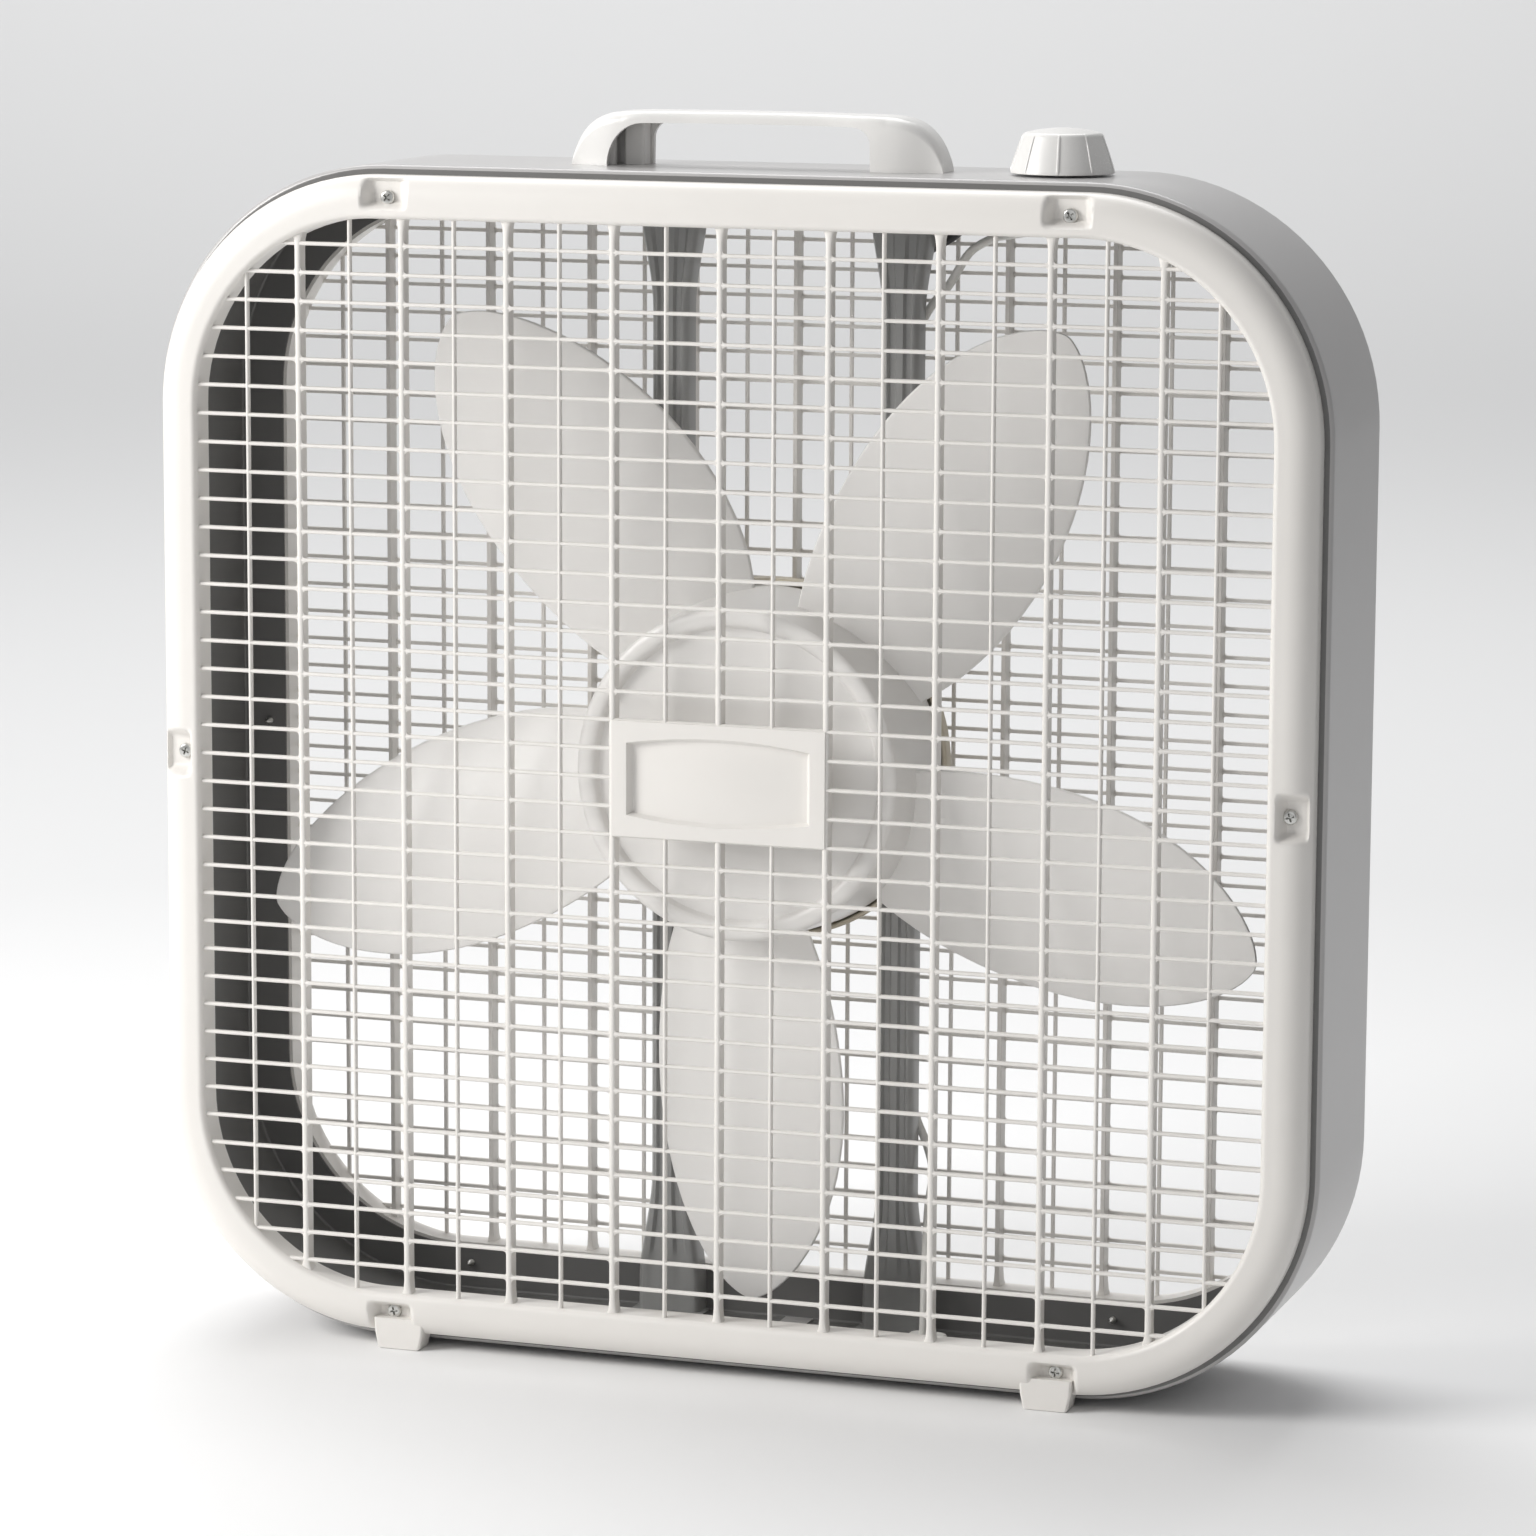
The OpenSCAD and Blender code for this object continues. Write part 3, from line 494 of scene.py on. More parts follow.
def bar_section(width, depth, narrow=0.0):
    """Section of a bar, rounded in front: sideways, and back from its front."""
    half = width / 2
    back = half - narrow
    section = arc((0, -min(half, 0.9)), (half, min(half, 0.9)), 180, 0, 7)
    section += [(back, -depth + 0.25), (back - 0.25, -depth), (-back + 0.25, -depth),
                (-back, -depth + 0.25)]
    return section


def reach_in_opening(offset, half_along, half_across):
    """How far a bar runs from the middle of the opening, at offset from its middle line."""
    into = max(abs(offset) - (half_across - OPEN_R), 0)
    return half_along - OPEN_R + math.sqrt(OPEN_R ** 2 - into ** 2)


def bars(badge):
    """The level bars, the thin upright bars, and the deep upright ribs."""
    shape = Shape()
    badge_w, badge_h = 4 * BAR_DX, 4 * BAR_DZ
    root = 1.0
    thin = bar_section(THIN_BAR, BAR_T)
    rib = bar_section(THICK_BAR, RIB_D, narrow=0.35)

    def spans(reach, hidden, edge):
        if hidden:
            return [(-reach, -edge), (edge, reach)]
        return [(-reach, reach)]

    for j in range(-BARS_Z, BARS_Z + 1):
        z = j * BAR_DZ
        reach = reach_in_opening(z, OPEN_W / 2, OPEN_H / 2) + root
        for start, stop in spans(reach, badge and abs(j) < 2, badge_w / 2 - 1.5):
            shape.loft([
                [(x, z + s, BAR_FRONT + d) for s, d in thin] for x in (start, stop)
            ])
    for i in range(-BARS_X, BARS_X + 1):
        x = i * BAR_DX
        reach = reach_in_opening(x, OPEN_H / 2, OPEN_W / 2) + root
        section, lift = (rib, 0.12) if i % 2 == 0 else (thin, 0.06)
        for start, stop in spans(reach, badge and abs(i) < 2, badge_h / 2 - 1.5):
            stations = [(start, 1.0), (stop, 1.0)]
            if i % 2 == 0:
                ends = [(root + 6, 1.0), (root + 2, 1.25), (0, 1.9)]
                stations = []
                if start == -reach:
                    stations += [(start + away, wide) for away, wide in reversed(ends)]
                else:
                    stations += [(start, 1.0)]
                if stop == reach:
                    stations += [(stop - away, wide) for away, wide in ends]
                else:
                    stations += [(stop, 1.0)]
            shape.loft([
                [(x + s * wide, z, BAR_FRONT + lift + d) for s, d in section]
                for z, wide in stations
            ])
    return shape


def gussets():
    """Small webs in the corners where the ribs cross the level bars."""
    shape = Shape()
    size = 1.7
    for i in range(-BARS_X + 1, BARS_X, 2):
        x = i * BAR_DX
        reach = reach_in_opening(x, OPEN_H / 2, OPEN_W / 2)
        for j in range(-BARS_Z, BARS_Z + 1):
            z = j * BAR_DZ
            if abs(z) > reach - 4 or (abs(i) <= 2 and abs(j) <= 2):
                continue
            half_rib, half_bar = THICK_BAR / 2 - 0.3, THIN_BAR / 2 - 0.2
            outline = []
            for quarter, (sx, sz) in enumerate([(1, 1), (-1, 1), (-1, -1), (1, -1)]):
                corner = [
                    (x + sx * (half_rib + size), z + sz * half_bar),
                    (x + sx * (half_rib + size * 0.3), z + sz * (half_bar + size * 0.3)),
                    (x + sx * half_rib, z + sz * (half_bar + size)),
                ]
                outline += corner if quarter % 2 == 0 else corner[::-1]
            shape.loft([
                [(px, pz, BAR_FRONT - depth) for px, pz in outline] for depth in (0.35, BAR_T - 0.1)
            ])
    return shape


def badge():
    """Plain plate in the middle of the front grille, with a bowed recess and a crowned floor."""
    half_w, half_h = 2 * BAR_DX + 0.2, 2 * BAR_DZ + 0.2
    top = BAR_FRONT + 0.8
    back = BAR_FRONT - BAR_T - 3.2
    recess_w, recess_h, bow = 0.85 * half_w, 0.75 * half_h, 3.4
    depth, crown = 3.6, 2.2
    across, up = 20, 12

    def loop(w, h, bend, height):
        """Points around a box whose upper and lower sides bow outward."""
        side = []
        for k in range(across):
            x = -w + 2 * w * k / across
            side.append((x, h - bend * (x / w) ** 2 if w else 0))
        corner = h - bend
        right = [(w, corner - 2 * corner * k / up) for k in range(up)]
        points = side + right + [(-x, -y) for x, y in side] + [(-x, -y) for x, y in right]
        return [(x, y, height(x, y)) for x, y in points]

    floor_w, floor_h, floor_bow = recess_w - 2.4, recess_h - 1.7, bow * 0.92

    def floor(x, y):
        return top - depth + crown * (1 - (x / floor_w) ** 2) * (1 - 0.35 * (y / floor_h) ** 2)

    shape = Shape()
    rings = [loop(half_w - 1, half_h - 1, 0, lambda x, y: back)]
    rings += [loop(half_w - 0.3, half_h - 0.3, 0, lambda x, y: back)]
    rings += [loop(half_w, half_h, 0, lambda x, y: back + 0.3)]
    for inset, drop in ((0, 0.5), (0.15, 0.15), (0.5, 0)):
        rings.append(loop(half_w - inset, half_h - inset, 0, lambda x, y, d=drop: top - d))
    rings.append(loop(recess_w + 0.6, recess_h + 0.6, bow, lambda x, y: top))
    rings.append(loop(recess_w + 0.2, recess_h + 0.2, bow, lambda x, y: top - 0.12))
    rings.append(loop(recess_w, recess_h, bow, lambda x, y: top - 0.5))
    rings.append(loop(floor_w + 0.8, floor_h + 0.6, floor_bow,
                      lambda x, y: floor(x, y) + 0.25))
    for scale in (1, 0.93, 0.8, 0.6, 0.4, 0.2, 0.05):
        rings.append(loop(floor_w * scale, floor_h * scale, floor_bow * scale, floor))
    shape.loft(rings)
    return shape


def feet():
    """Two tapered blocks under the rim, moulded in one with it."""
    shape = Shape()
    half_top, half_bottom = 11.3, 9.6
    low = -MID_Z
    high = -GRILLE_H / 2 + 7
    front, back = RIM_D - 1.6, 0.5
    edge = 0.8
    for side in (-1, 1):
        rings = []
        for z, half, inset in (
            (low, half_bottom, edge),
            (low + edge * 0.3, half_bottom, edge * 0.3),
            (low + edge, half_bottom + 0.2, 0),
            (-GRILLE_H / 2, half_top, 0),
            (high, half_top + 0.4, 0),
        ):
            outline = rounded_outline(half - inset, (front - back) / 2 - inset, 1.2, 4)
            rings.append([(side * FOOT_X + x, z, (front + back) / 2 + y) for x, y in outline])
        shape.loft(rings)
    return shape


def grille(with_badge):
    """A whole grille, with or without the plate in its middle."""
    shape = rim()
    shape.add(bars(with_badge))
    shape.add(gussets())
    shape.add(feet())
    if with_badge:
        shape.add(badge())
    return shape


show("front_grille_moulding", on_front(grille(True)), "case", ["front_grille"],
     white_plastic)
show("rear_grille_moulding", on_back(grille(False)), "case", ["rear_grille"],
     white_plastic)


# ---------- screws ----------

def cross_head_screw(head_r, head_h, shank_r, length):
    """A pan-head screw with a cross recess. Its head stands on the plane at height 0."""
    profile = [(0, -length), (0.35, -length + 0.1), (shank_r, -length + 2.2)]
    pitch = 1.1
    turn = -length + 2.2
    while turn < -1.6:
        profile += [(shank_r, turn + 0.2), (shank_r - 0.3, turn + pitch / 2), (shank_r, turn + 0.9)]
        turn += pitch
    profile += [(shank_r, 0), (head_r - 0.2, 0), (head_r, 0.2)]
    profile += arc((head_r - 1.1, head_h - 1.1), 1.1, 0, 70, 6)
    profile += [(head_r * 0.45, head_h), (0, head_h)]
    screw = revolve(profile, 28)
    cross = Shape()
    arm, half = head_r * 0.66, 0.42
    rings = []
    for height, a, h in ((head_h - 1.5, arm * 0.45, half * 0.6),
                         (head_h + 1, arm * 1.2, half * 1.2)):
        ring = []
        for quarter in range(4):
            turn = math.radians(90 * quarter)
            for far, side in ((a, -h), (a, h), (h, h)):
                ring.append((far * math.cos(turn) - side * math.sin(turn),
                             far * math.sin(turn) + side * math.cos(turn), height))
        rings.append(ring)
    cross.loft(rings)
    mesh_piece = bpy.data.objects.new("screw_blank", screw.mesh("screw_blank"))
    bpy.context.scene.collection.objects.link(mesh_piece)
    cut(mesh_piece, cross)
    result = Shape()
    result.points = [v.co / MM for v in mesh_piece.data.vertices]
    result.faces = [tuple(p.vertices) for p in mesh_piece.data.polygons]
    bpy.data.objects.remove(mesh_piece)
    return result


def screws_at(screw, places, height):
    """A copy of a screw at each place, each turned by its own amount."""
    shape = Shape()
    for k, (x, y) in enumerate(places):
        turn = Matrix.Rotation(math.radians(37 * k + 12), 4, "Z")
        shape.add(screw, Matrix.Translation((x, y, height)) @ turn)
    return shape


grille_screw = cross_head_screw(3.2, 2.1, 1.5, 13)
grille_screws = screws_at(grille_screw, SCREWS, POCKET_FLOOR)
show("front_grille_fixings", on_front(grille_screws), "case", ["front_grille_screws"], zinc)
show("rear_grille_fixings", on_back(grille_screws), "case", ["rear_grille_screws"], zinc)


# ---------- case ----------

def case_shell():
    """The bent sheet with its rolled edges and inward flanges, swept round the case."""
    bend = 2.2
    half = CASE_D / 2
    inner = bend - SHEET
    section = [(FLANGE_W, -half), (12, -half)]
    section += arc((bend, -half + bend), bend, 270, 180, 7)
    section += [(0, y) for y in spread(-half + 3 * bend, half - 3 * bend, 5)]
    section += arc((bend, half - bend), bend, 180, 90, 7)
    section += [(12, half), (FLANGE_W, half), (FLANGE_W, half - SHEET), (12, half - SHEET)]
    section += arc((bend, half - bend), inner, 90, 180, 5)
    section += [(SHEET, y) for y in spread(half - 3 * bend, -half + 3 * bend, 5)]
    section += arc((bend, -half + bend), inner, 180, 270, 5)
    section += [(12, -half + SHEET), (FLANGE_W, -half + SHEET)]
    shape = Shape()
    shape.loft([
        [(p.x - out.x * inward, y, MID_Z + p.y - out.y * inward) for inward, y in section]
        for p, out in around(CASE_W / 2, CASE_H / 2, CASE_R)
    ], closed=True)
    return shape


TAB_X, TAB_Y = 112, 8
FLOOR = case_low.z + SHEET

case_openings = Shape()
for side in (-1, 1):
    case_openings.add(block((side * TAB_X - 7, TAB_Y - 4.5, case_low.z - 2),
                            (side * TAB_X + 7, TAB_Y + 4.5, case_low.z + 4), 1.5))
case_piece = show("case_shell", case_shell(), "case", ["case_band"], case_paint)
cut(case_piece, case_openings)
# The flanges and the inside get the darker grey. Part of it is the steel's dark backer coat, and
# part is painted shade for the shadowed groove beside the rim and the unlit inside.
case_piece.data.materials.append(backer_paint_and_painted_shade)
for face in case_piece.data.polygons:
    outward = Vector((face.center.x, 0, face.center.z - MID_Z * MM)).normalized()
    if face.normal.dot(outward) < 0.15:
        face.material_index = 1


def lanced_tabs():
    """The two tongues that are cut from the floor of the case and bent up, and its lapped seam."""
    shape = Shape()
    for side in (-1, 1):
        rings = []
        for y, z in arc((TAB_Y - 4.5, FLOOR + 3.4), 3.4, 250, 180, 6) + [(TAB_Y - 7.9, FLOOR + 8)]:
            rings.append([
                (side * TAB_X - 6, y, z), (side * TAB_X + 6, y, z),
                (side * TAB_X + 6, y + 0.8, z + 0.2), (side * TAB_X - 6, y + 0.8, z + 0.2),
            ])
        shape.loft(rings)
    lap = CASE_D / 2 - SHEET - 1
    shape.add(block((0, -lap, FLOOR - 0.3), (13, lap, FLOOR + 0.7), 0.2))
    return shape


show("case_tabs_and_seam", lanced_tabs(), "case", [], case_paint, soften=0.15)


# ---------- impeller ----------

HUB_FRONT = -hub_low.y
HUB_BACK = -hub_high.y
HUB_R = 73
HUB_FLARE = 4
BLADES = 5
FIRST_BLADE = 48
TIP_R = 238
ROOT_R = 62
BLADE_W = 94
BLADE_PITCH = math.radians(17)
CAMBER_R = 150
BLADE_T = 2
BLADE_FORWARD = 3


def blade_half(r):
    """Half width of a blade at radius r, from its petal shape."""
    middle = (TIP_R + 40) / 2
    u = min(abs(r - middle) / (TIP_R - middle), 1)
    return BLADE_W / 2 * (1 - u * u) ** (0.5 if r < middle else 0.62)


def blade():
    """One cambered blade along +X, seen from the front; its upper edge stands forward."""
    edge_steps = [0, 0.08, 0.3, 0.62, 1]
    rings = []
    for k in range(31):
        r = ROOT_R + (TIP_R - ROOT_R) * math.sin(math.pi / 2 * k / 30)
        half = blade_half(r)
        drift = math.radians(6 * (1 - ((TIP_R - r) / (TIP_R - 60)) ** 2))
        step = min(1, half / 3)
        offsets = [-half + e * step for e in edge_steps]
        offsets += spread(-half + 2.5 * step, half - 2.5 * step, 15)
        offsets += [half - e * step for e in reversed(edge_steps)]
        front, back = [], []
        for s in offsets:
            x = r * math.cos(drift) - s * math.sin(drift)
            y = r * math.sin(drift) + s * math.cos(drift)
            tilt = y - CAMBER_R * math.sin(BLADE_PITCH)
            base = -CAMBER_R * math.cos(BLADE_PITCH)
            z_front = base + math.sqrt(CAMBER_R ** 2 - tilt ** 2)
            z_back = base + math.sqrt((CAMBER_R - BLADE_T) ** 2 - tilt ** 2)
            near = min((half - abs(s)) / max(step, 1e-6), 1) if half else 0
            full = math.sqrt(max(1 - (1 - near) ** 2, 0))
            middle = (z_front + z_back) / 2
            front.append((x, y, middle + (z_front - middle) * full + BLADE_FORWARD))
            back.append((x, y, middle + (z_back - middle) * full + BLADE_FORWARD))
        rings.append(front + back[-2:0:-1])
    shape = Shape()
    shape.loft(rings)
    return shape


def hub():
    """The dished hub: a tapered wall, a rounded ring in front and a sunk, slightly domed disc."""
    wall = 2.2
    ring = 2.6
    brink = HUB_FRONT - ring
    outer = [(HUB_R + HUB_FLARE, HUB_BACK), (HUB_R + HUB_FLARE - 0.15, HUB_BACK + 0.8)]
    outer += [(HUB_R + HUB_FLARE * (1 - t), HUB_BACK + (brink - HUB_BACK) * t)
              for t in (0.1, 0.5, 0.9, 1)]
    crest = arc((HUB_R - 4.2, brink), (4.2, ring), 0, 180, 14)
    dish = [(HUB_R - 9.2, brink - 1.6), (HUB_R - 11, brink - 2.0), (50, brink - 1.4),
            (30, brink - 0.8), (12, brink - 0.6), (0, brink - 0.6)]
    inside = [(0, brink - 3), (12, brink - 3), (50, brink - 3.8), (HUB_R - 12, brink - 4.4),
              (HUB_R - wall - 0.5, brink - 3.2), (HUB_R + HUB_FLARE - wall, HUB_BACK)]
    return revolve(outer + crest + dish + inside, 120)


def fan_wheel():
    """The impeller: its hub, blades and sleeve in one moulding."""
    shape = hub()
    one = blade()
    for k in range(BLADES):
        turn = math.radians(FIRST_BLADE + 360 * k / BLADES)
        shape.add(one, Matrix.Rotation(turn, 4, "Z"))
    sleeve = [(4.05, HUB_FRONT - 9), (9, HUB_FRONT - 9), (9, HUB_FRONT - 6),
              (11, HUB_FRONT - 4.5), (4.05, HUB_FRONT - 4.5)]
    shape.add(revolve(sleeve, 48))
    return shape.moved(facing_front)


show("fan_wheel", fan_wheel(), "fan_rotor", ["impeller"], blade_plastic)


# ---------- handle ----------

def handle():
    """Bridge handle: a channel open below, whose ends come down to the case in round shoulders."""
    half_l = (handle_high.x - handle_low.x) / 2
    height = handle_high.z - handle_low.z
    half_w = (handle_high.y - handle_low.y) / 2
    wall = 2.4
    gap_h = height - 5
    square_end, corner = half_l - 31, 8
    cut_start, cut_end = half_l - 34, half_l - 17.5
    shoulder = 27

    def top(x):
        into = max(abs(x) - (half_l - shoulder), 0) / shoulder
        arch = 1.2 * (abs(x) / half_l) ** 2
        return (height - arch) * max(1 - into ** 2.5, 0) ** 0.48

    def width(x):
        end = ease(abs(x), half_l - 34, half_l)
        grip = 1 - 0.16 * (1 - ease(abs(x), square_end - 26, square_end + 6))
        return half_w * grip * (1 - 0.38 * end ** 2.2)

    def low_edge(x, inner, square):
        """Lower edge of one side: its foot ends square at one end, and is cut away at the other."""
        x = abs(x)
        arch = gap_h - 0.9 * (x / half_l) ** 2
        if not square:
            into = min(max((x - cut_start) / (cut_end - cut_start), 0), 1)
            return arch * math.sqrt(1 - into * into)
        past = max(x - (square_end - corner), 0)
        if past > corner or (past == corner and not inner):
            return 0
        return arch - corner + math.sqrt(corner ** 2 - past ** 2)

    def section(x, inner):
        lows = [low_edge(x, inner, square) for square in (x > 0, x < 0)]
        high = max(top(x), max(lows) + 0.05)
        w = width(x)
        r = min(5, (high - max(lows)) * 0.6, w * 0.6)
        t = min(wall, (high - max(lows)) * 0.45)
        front, rear = lows
        outside = [(-w, front), (-w, front + (high - front - r) * 0.5)]
        outside += arc((-w + r, high - r), r, 180, 90, 8)
        outside += [(-w * 0.3, high), (w * 0.3, high)]
        outside += arc((w - r, high - r), r, 90, 0, 8)
        outside += [(w, rear + (high - rear - r) * 0.5), (w, rear)]
        ri = max(r - t, 0.3)
        inside = [(w - t, rear)]
        inside += arc((w - t - ri, high - t - ri), ri, 0, 90, 5)
        inside += arc((-w + t + ri, high - t - ri), ri, 90, 180, 5)
        inside += [(-w + t, front)]
        return [(x, y, CASE_TOP + z) for y, z in outside + inside]

    def closing_up(start, stop, count):
        """Values from stop down to start, closest together near stop."""
        return [start + (stop - start) * math.sin(math.radians(a)) for a in spread(90, 0, count)]

    ends = closing_up(square_end, half_l, 26)
    curve = closing_up(cut_start, cut_end, 16)
    bend = closing_up(square_end - corner, square_end, 8)
    grip = spread(square_end - corner - 3, 3, 14)
    outer = sorted({round(x, 4) for x in ends + [x for x in curve if x > square_end]}, reverse=True)
    inner = sorted(
        {round(x, 4) for x in bend + grip + [x for x in curve if x < square_end]}, reverse=True
    )
    stations = [(x, False) for x in outer] + [(x, True) for x in inner]
    stations += [(-x, inside) for x, inside in reversed(stations)]
    shape = Shape()
    shape.loft([section(x, inside) for x, inside in stations])
    boss = [(1.7, 0), (3.8, 0), (3.8, height - 5), (1.7, height - 5)]
    rib_half, rib_h = 4.5, 18
    for side in (-1, 1):
        x = side * (half_l - 14)
        shape.add(revolve(boss, 24, lambda px, py, h, x=x: (x + px, py, CASE_TOP + h)))
        rib_x, rib_y = side * (square_end + 5.5), -side * 5.5
        shape.add(block((rib_x - rib_half, rib_y - rib_half, CASE_TOP),
                        (rib_x + rib_half, rib_y + rib_half, CASE_TOP + rib_h), 1))
    return shape


show("handle_bridge", handle(), "case", ["carry_handle"], handle_plastic)


# ---------- knob ----------

def knob():
    """Round tapered knob with fine ridges down its side and a domed top; hollow below."""
    foot_r = (knob_high.x - knob_low.x) / 2
    height = knob_high.z - knob_low.z
    top_r = 0.76 * foot_r
    centre = ((knob_low.x + knob_high.x) / 2, (knob_low.y + knob_high.y) / 2)
    ridges, ridge_half, ridge_h = 9, 0.75, 0.5
    edge = 2.2
    dome = 1.8

    def outline():
        side = [(foot_r - 0.9, 0, 0), (foot_r - 0.6, 0.15, 0), (foot_r - 0.6, 0.8, 0.25)]
        for t in spread(0.06, 0.8, 9):
            side.append((foot_r - 0.6 + (top_r + 0.4 - foot_r) * t ** 1.1,
                         (height - dome - edge) * t + 0.8, 1))
        for r, z in arc((top_r - edge, height - dome - edge), edge, 12, 90, 7):
            side.append((r, z, max(0, 0.9 - (z - height + dome + edge) / edge)))
        for t in spread(0.85, 0, 7):
            side.append(((top_r - edge) * t, height - dome * t * t, 0))
        return side

    beside = (0.6, 1.2, 1.8, 2.4, 3.5, 6, 10, 15)
    offsets = [-20] + [-a for a in reversed(beside)] + [0] + list(beside)
    angles = [(360 * k / ridges + offset, offset) for k in range(ridges) for offset in offsets]
    rings = []
    for a, offset in angles:
        turn = math.radians(a)
        bulge = (1 - ease(abs(offset) * foot_r * math.pi / 180, ridge_half * 0.5, ridge_half))
        flat = foot_r * (1 - math.cos(math.radians(min(abs(offset), 20)))) * 0.25
        ring = []
        for r, z, share in outline():
            radius = max(r + share * (ridge_h * bulge - flat * 0.3), 0)
            ring.append((radius, z))
        inner_low, inner_high = foot_r - 2.6, top_r - 3
        ring += [(0, height - 3.4), (inner_high, height - 4.2), (inner_low, 0)]
        rings.append([
            (centre[0] + r * math.cos(turn), centre[1] + r * math.sin(turn), knob_low.z + z)
            for r, z in ring
        ])
    shape = Shape()
    shape.loft(rings, closed=True)
    return shape


show("speed_dial", knob(), "speed_knob", ["knob"], handle_plastic)


# ---------- struts ----------

def strut(side):
    """Steel channel with two pressed beads, flared ends and a folded foot at each end."""
    low, high = (box_mm("right_strut") if side > 0 else box_mm("left_strut"))
    x_mid = (low.x + high.x) / 2
    front, back = 31, high.y
    half_w, half_end = 8.5, 14.5
    sheet = 1.2
    z_low, z_high = low.z, high.z

    def half(z):
        from_end = min(z - z_low, z_high - z)
        return half_end + (half_w - half_end) * ease(from_end, 14, 64)

    def section(z):
        w = half(z)
        from_end = min(z - z_low, z_high - z)
        bead = 1.6 * ease(from_end, 6, 40)
        outside = [(-w, back), (-w, front + 2.5), (-w + 1.2, front + 0.6), (-w + 2.4, front)]
        for middle in (-w * 0.42, w * 0.42):
            outside += [(middle - w * 0.24, front), (middle - w * 0.13, front + bead),
                        (middle + w * 0.13, front + bead), (middle + w * 0.24, front)]
        outside += [(w - 2.4, front), (w - 1.2, front + 0.6), (w, front + 2.5), (w, back)]
        inside = [(max(min(x, w - sheet), -w + sheet), min(y + sheet, back)) for x, y in outside]
        inside[0], inside[-1] = (-w + sheet, back), (w - sheet, back)
        return [(x_mid + x, y, z) for x, y in outside + inside[::-1]]

    heights = spread(z_low + 1, z_low + 72, 18) + spread(z_low + 100, z_high - 100, 8)
    heights += spread(z_high - 72, z_high - 1, 18)
    shape = Shape()
    shape.loft([section(z) for z in heights])
    half_foot = (high.x - low.x) / 2
    for z in (z_low, z_high - sheet):
        shape.add(block((x_mid - half_foot, low.y, z), (x_mid + half_foot, back, z + sheet), 4, 6))
    return shape


show("left_channel", strut(-1), "case", ["left_strut"], strut_paint)
show("right_channel", strut(1), "case", ["right_strut"], strut_paint)


# ---------- motor plate ----------

def motor_plate():
    """Round moulded plate with a rolled lip, and a ring of slots cut through it later."""
    r = (plate_high.x - plate_low.x) / 2
    front, back = -plate_low.y, -plate_high.y
    t = 2.5
    floor = back + t
    profile = [(12, back), (r - 2.2, back)] + arc((r - 2.2, back + 2.2), 2.2, 270, 360, 6)
    profile += arc((r - t / 2, front - t / 2), t / 2, 0, 180, 7)
    profile += [(r - t, floor + 1.5), (r - t - 1.5, floor), (60, floor), (57, floor + 1.2),
                (54, floor + 1.2), (51, floor), (20, floor), (16, floor + 1.5), (12, floor + 1.5)]
    return revolve(profile, 128).moved(facing_front)


plate = show("motor_mount_plate", motor_plate(), "case", ["motor_plate"],
             plate_plastic, sharp=50)
plate_slots = Shape()
for k in range(9):
    slot_block = block((61.5, -7, -plate_high.y - 3), (66.5, 7, -plate_high.y + 6), 2.4)
    plate_slots.add(slot_block, Matrix.Rotation(math.radians(20 + 40 * k), 4, "Z"))
cut(plate, plate_slots.moved(facing_front))


# ---------- leads and gland ----------

gland_low, gland_high = box_mm("cord_gland")
GLAND = (gland_low + gland_high) / 2
LEAD_R = 1.9
LEAD_Y = strut_high.y - 3.5
LEAD_OVER = strut_high.y + LEAD_R + 0.7
SUPPLY_X = (strut_low.x + strut_high.x) / 2 + 3.7
MOTOR_X = (strut_low.x + strut_high.x) / 2 - 3.7
KNOB_X = (knob_low.x + knob_high.x) / 2
GROUND = case_low.z

supply_route = [
    (GLAND.x, GLAND.y + 2, gland_high.z),
    (GLAND.x, GLAND.y + 3, GROUND + 18),
    (GLAND.x - 3, GLAND.y + 14, GROUND + 36),
    (GLAND.x - 8, strut_high.y - 12, GROUND + 59),
    (GLAND.x - 10, LEAD_OVER - 1.6, GROUND + 73),
    (SUPPLY_X + 8, LEAD_OVER, GROUND + 85),
    (SUPPLY_X + 3, LEAD_OVER, GROUND + 97),
    (SUPPLY_X + 0.3, LEAD_Y + 2.5, GROUND + 111),
    (SUPPLY_X, LEAD_Y, GROUND + 127),
    (SUPPLY_X, LEAD_Y, GROUND + 150),
    (SUPPLY_X, LEAD_Y, MID_Z),
    (SUPPLY_X, LEAD_Y, CASE_TOP - 150),
    (SUPPLY_X, LEAD_Y, CASE_TOP - 87),
    (SUPPLY_X + 0.3, LEAD_Y + 2.5, CASE_TOP - 77),
    (SUPPLY_X + 3, LEAD_OVER, CASE_TOP - 67),
    (SUPPLY_X + 8, LEAD_OVER, CASE_TOP - 59),
    (SUPPLY_X + 15, LEAD_OVER - 0.4, CASE_TOP - 51),
    (SUPPLY_X + 25, LEAD_Y + 1.5, CASE_TOP - 37),
    (KNOB_X - 40, LEAD_Y - 8, CASE_TOP - 30),
    (KNOB_X - 28, 14, CASE_TOP - 27),
    (KNOB_X - 16, 1, CASE_TOP - 24.5),
    (KNOB_X - 10.8, -0.5, CASE_TOP - 22),
]
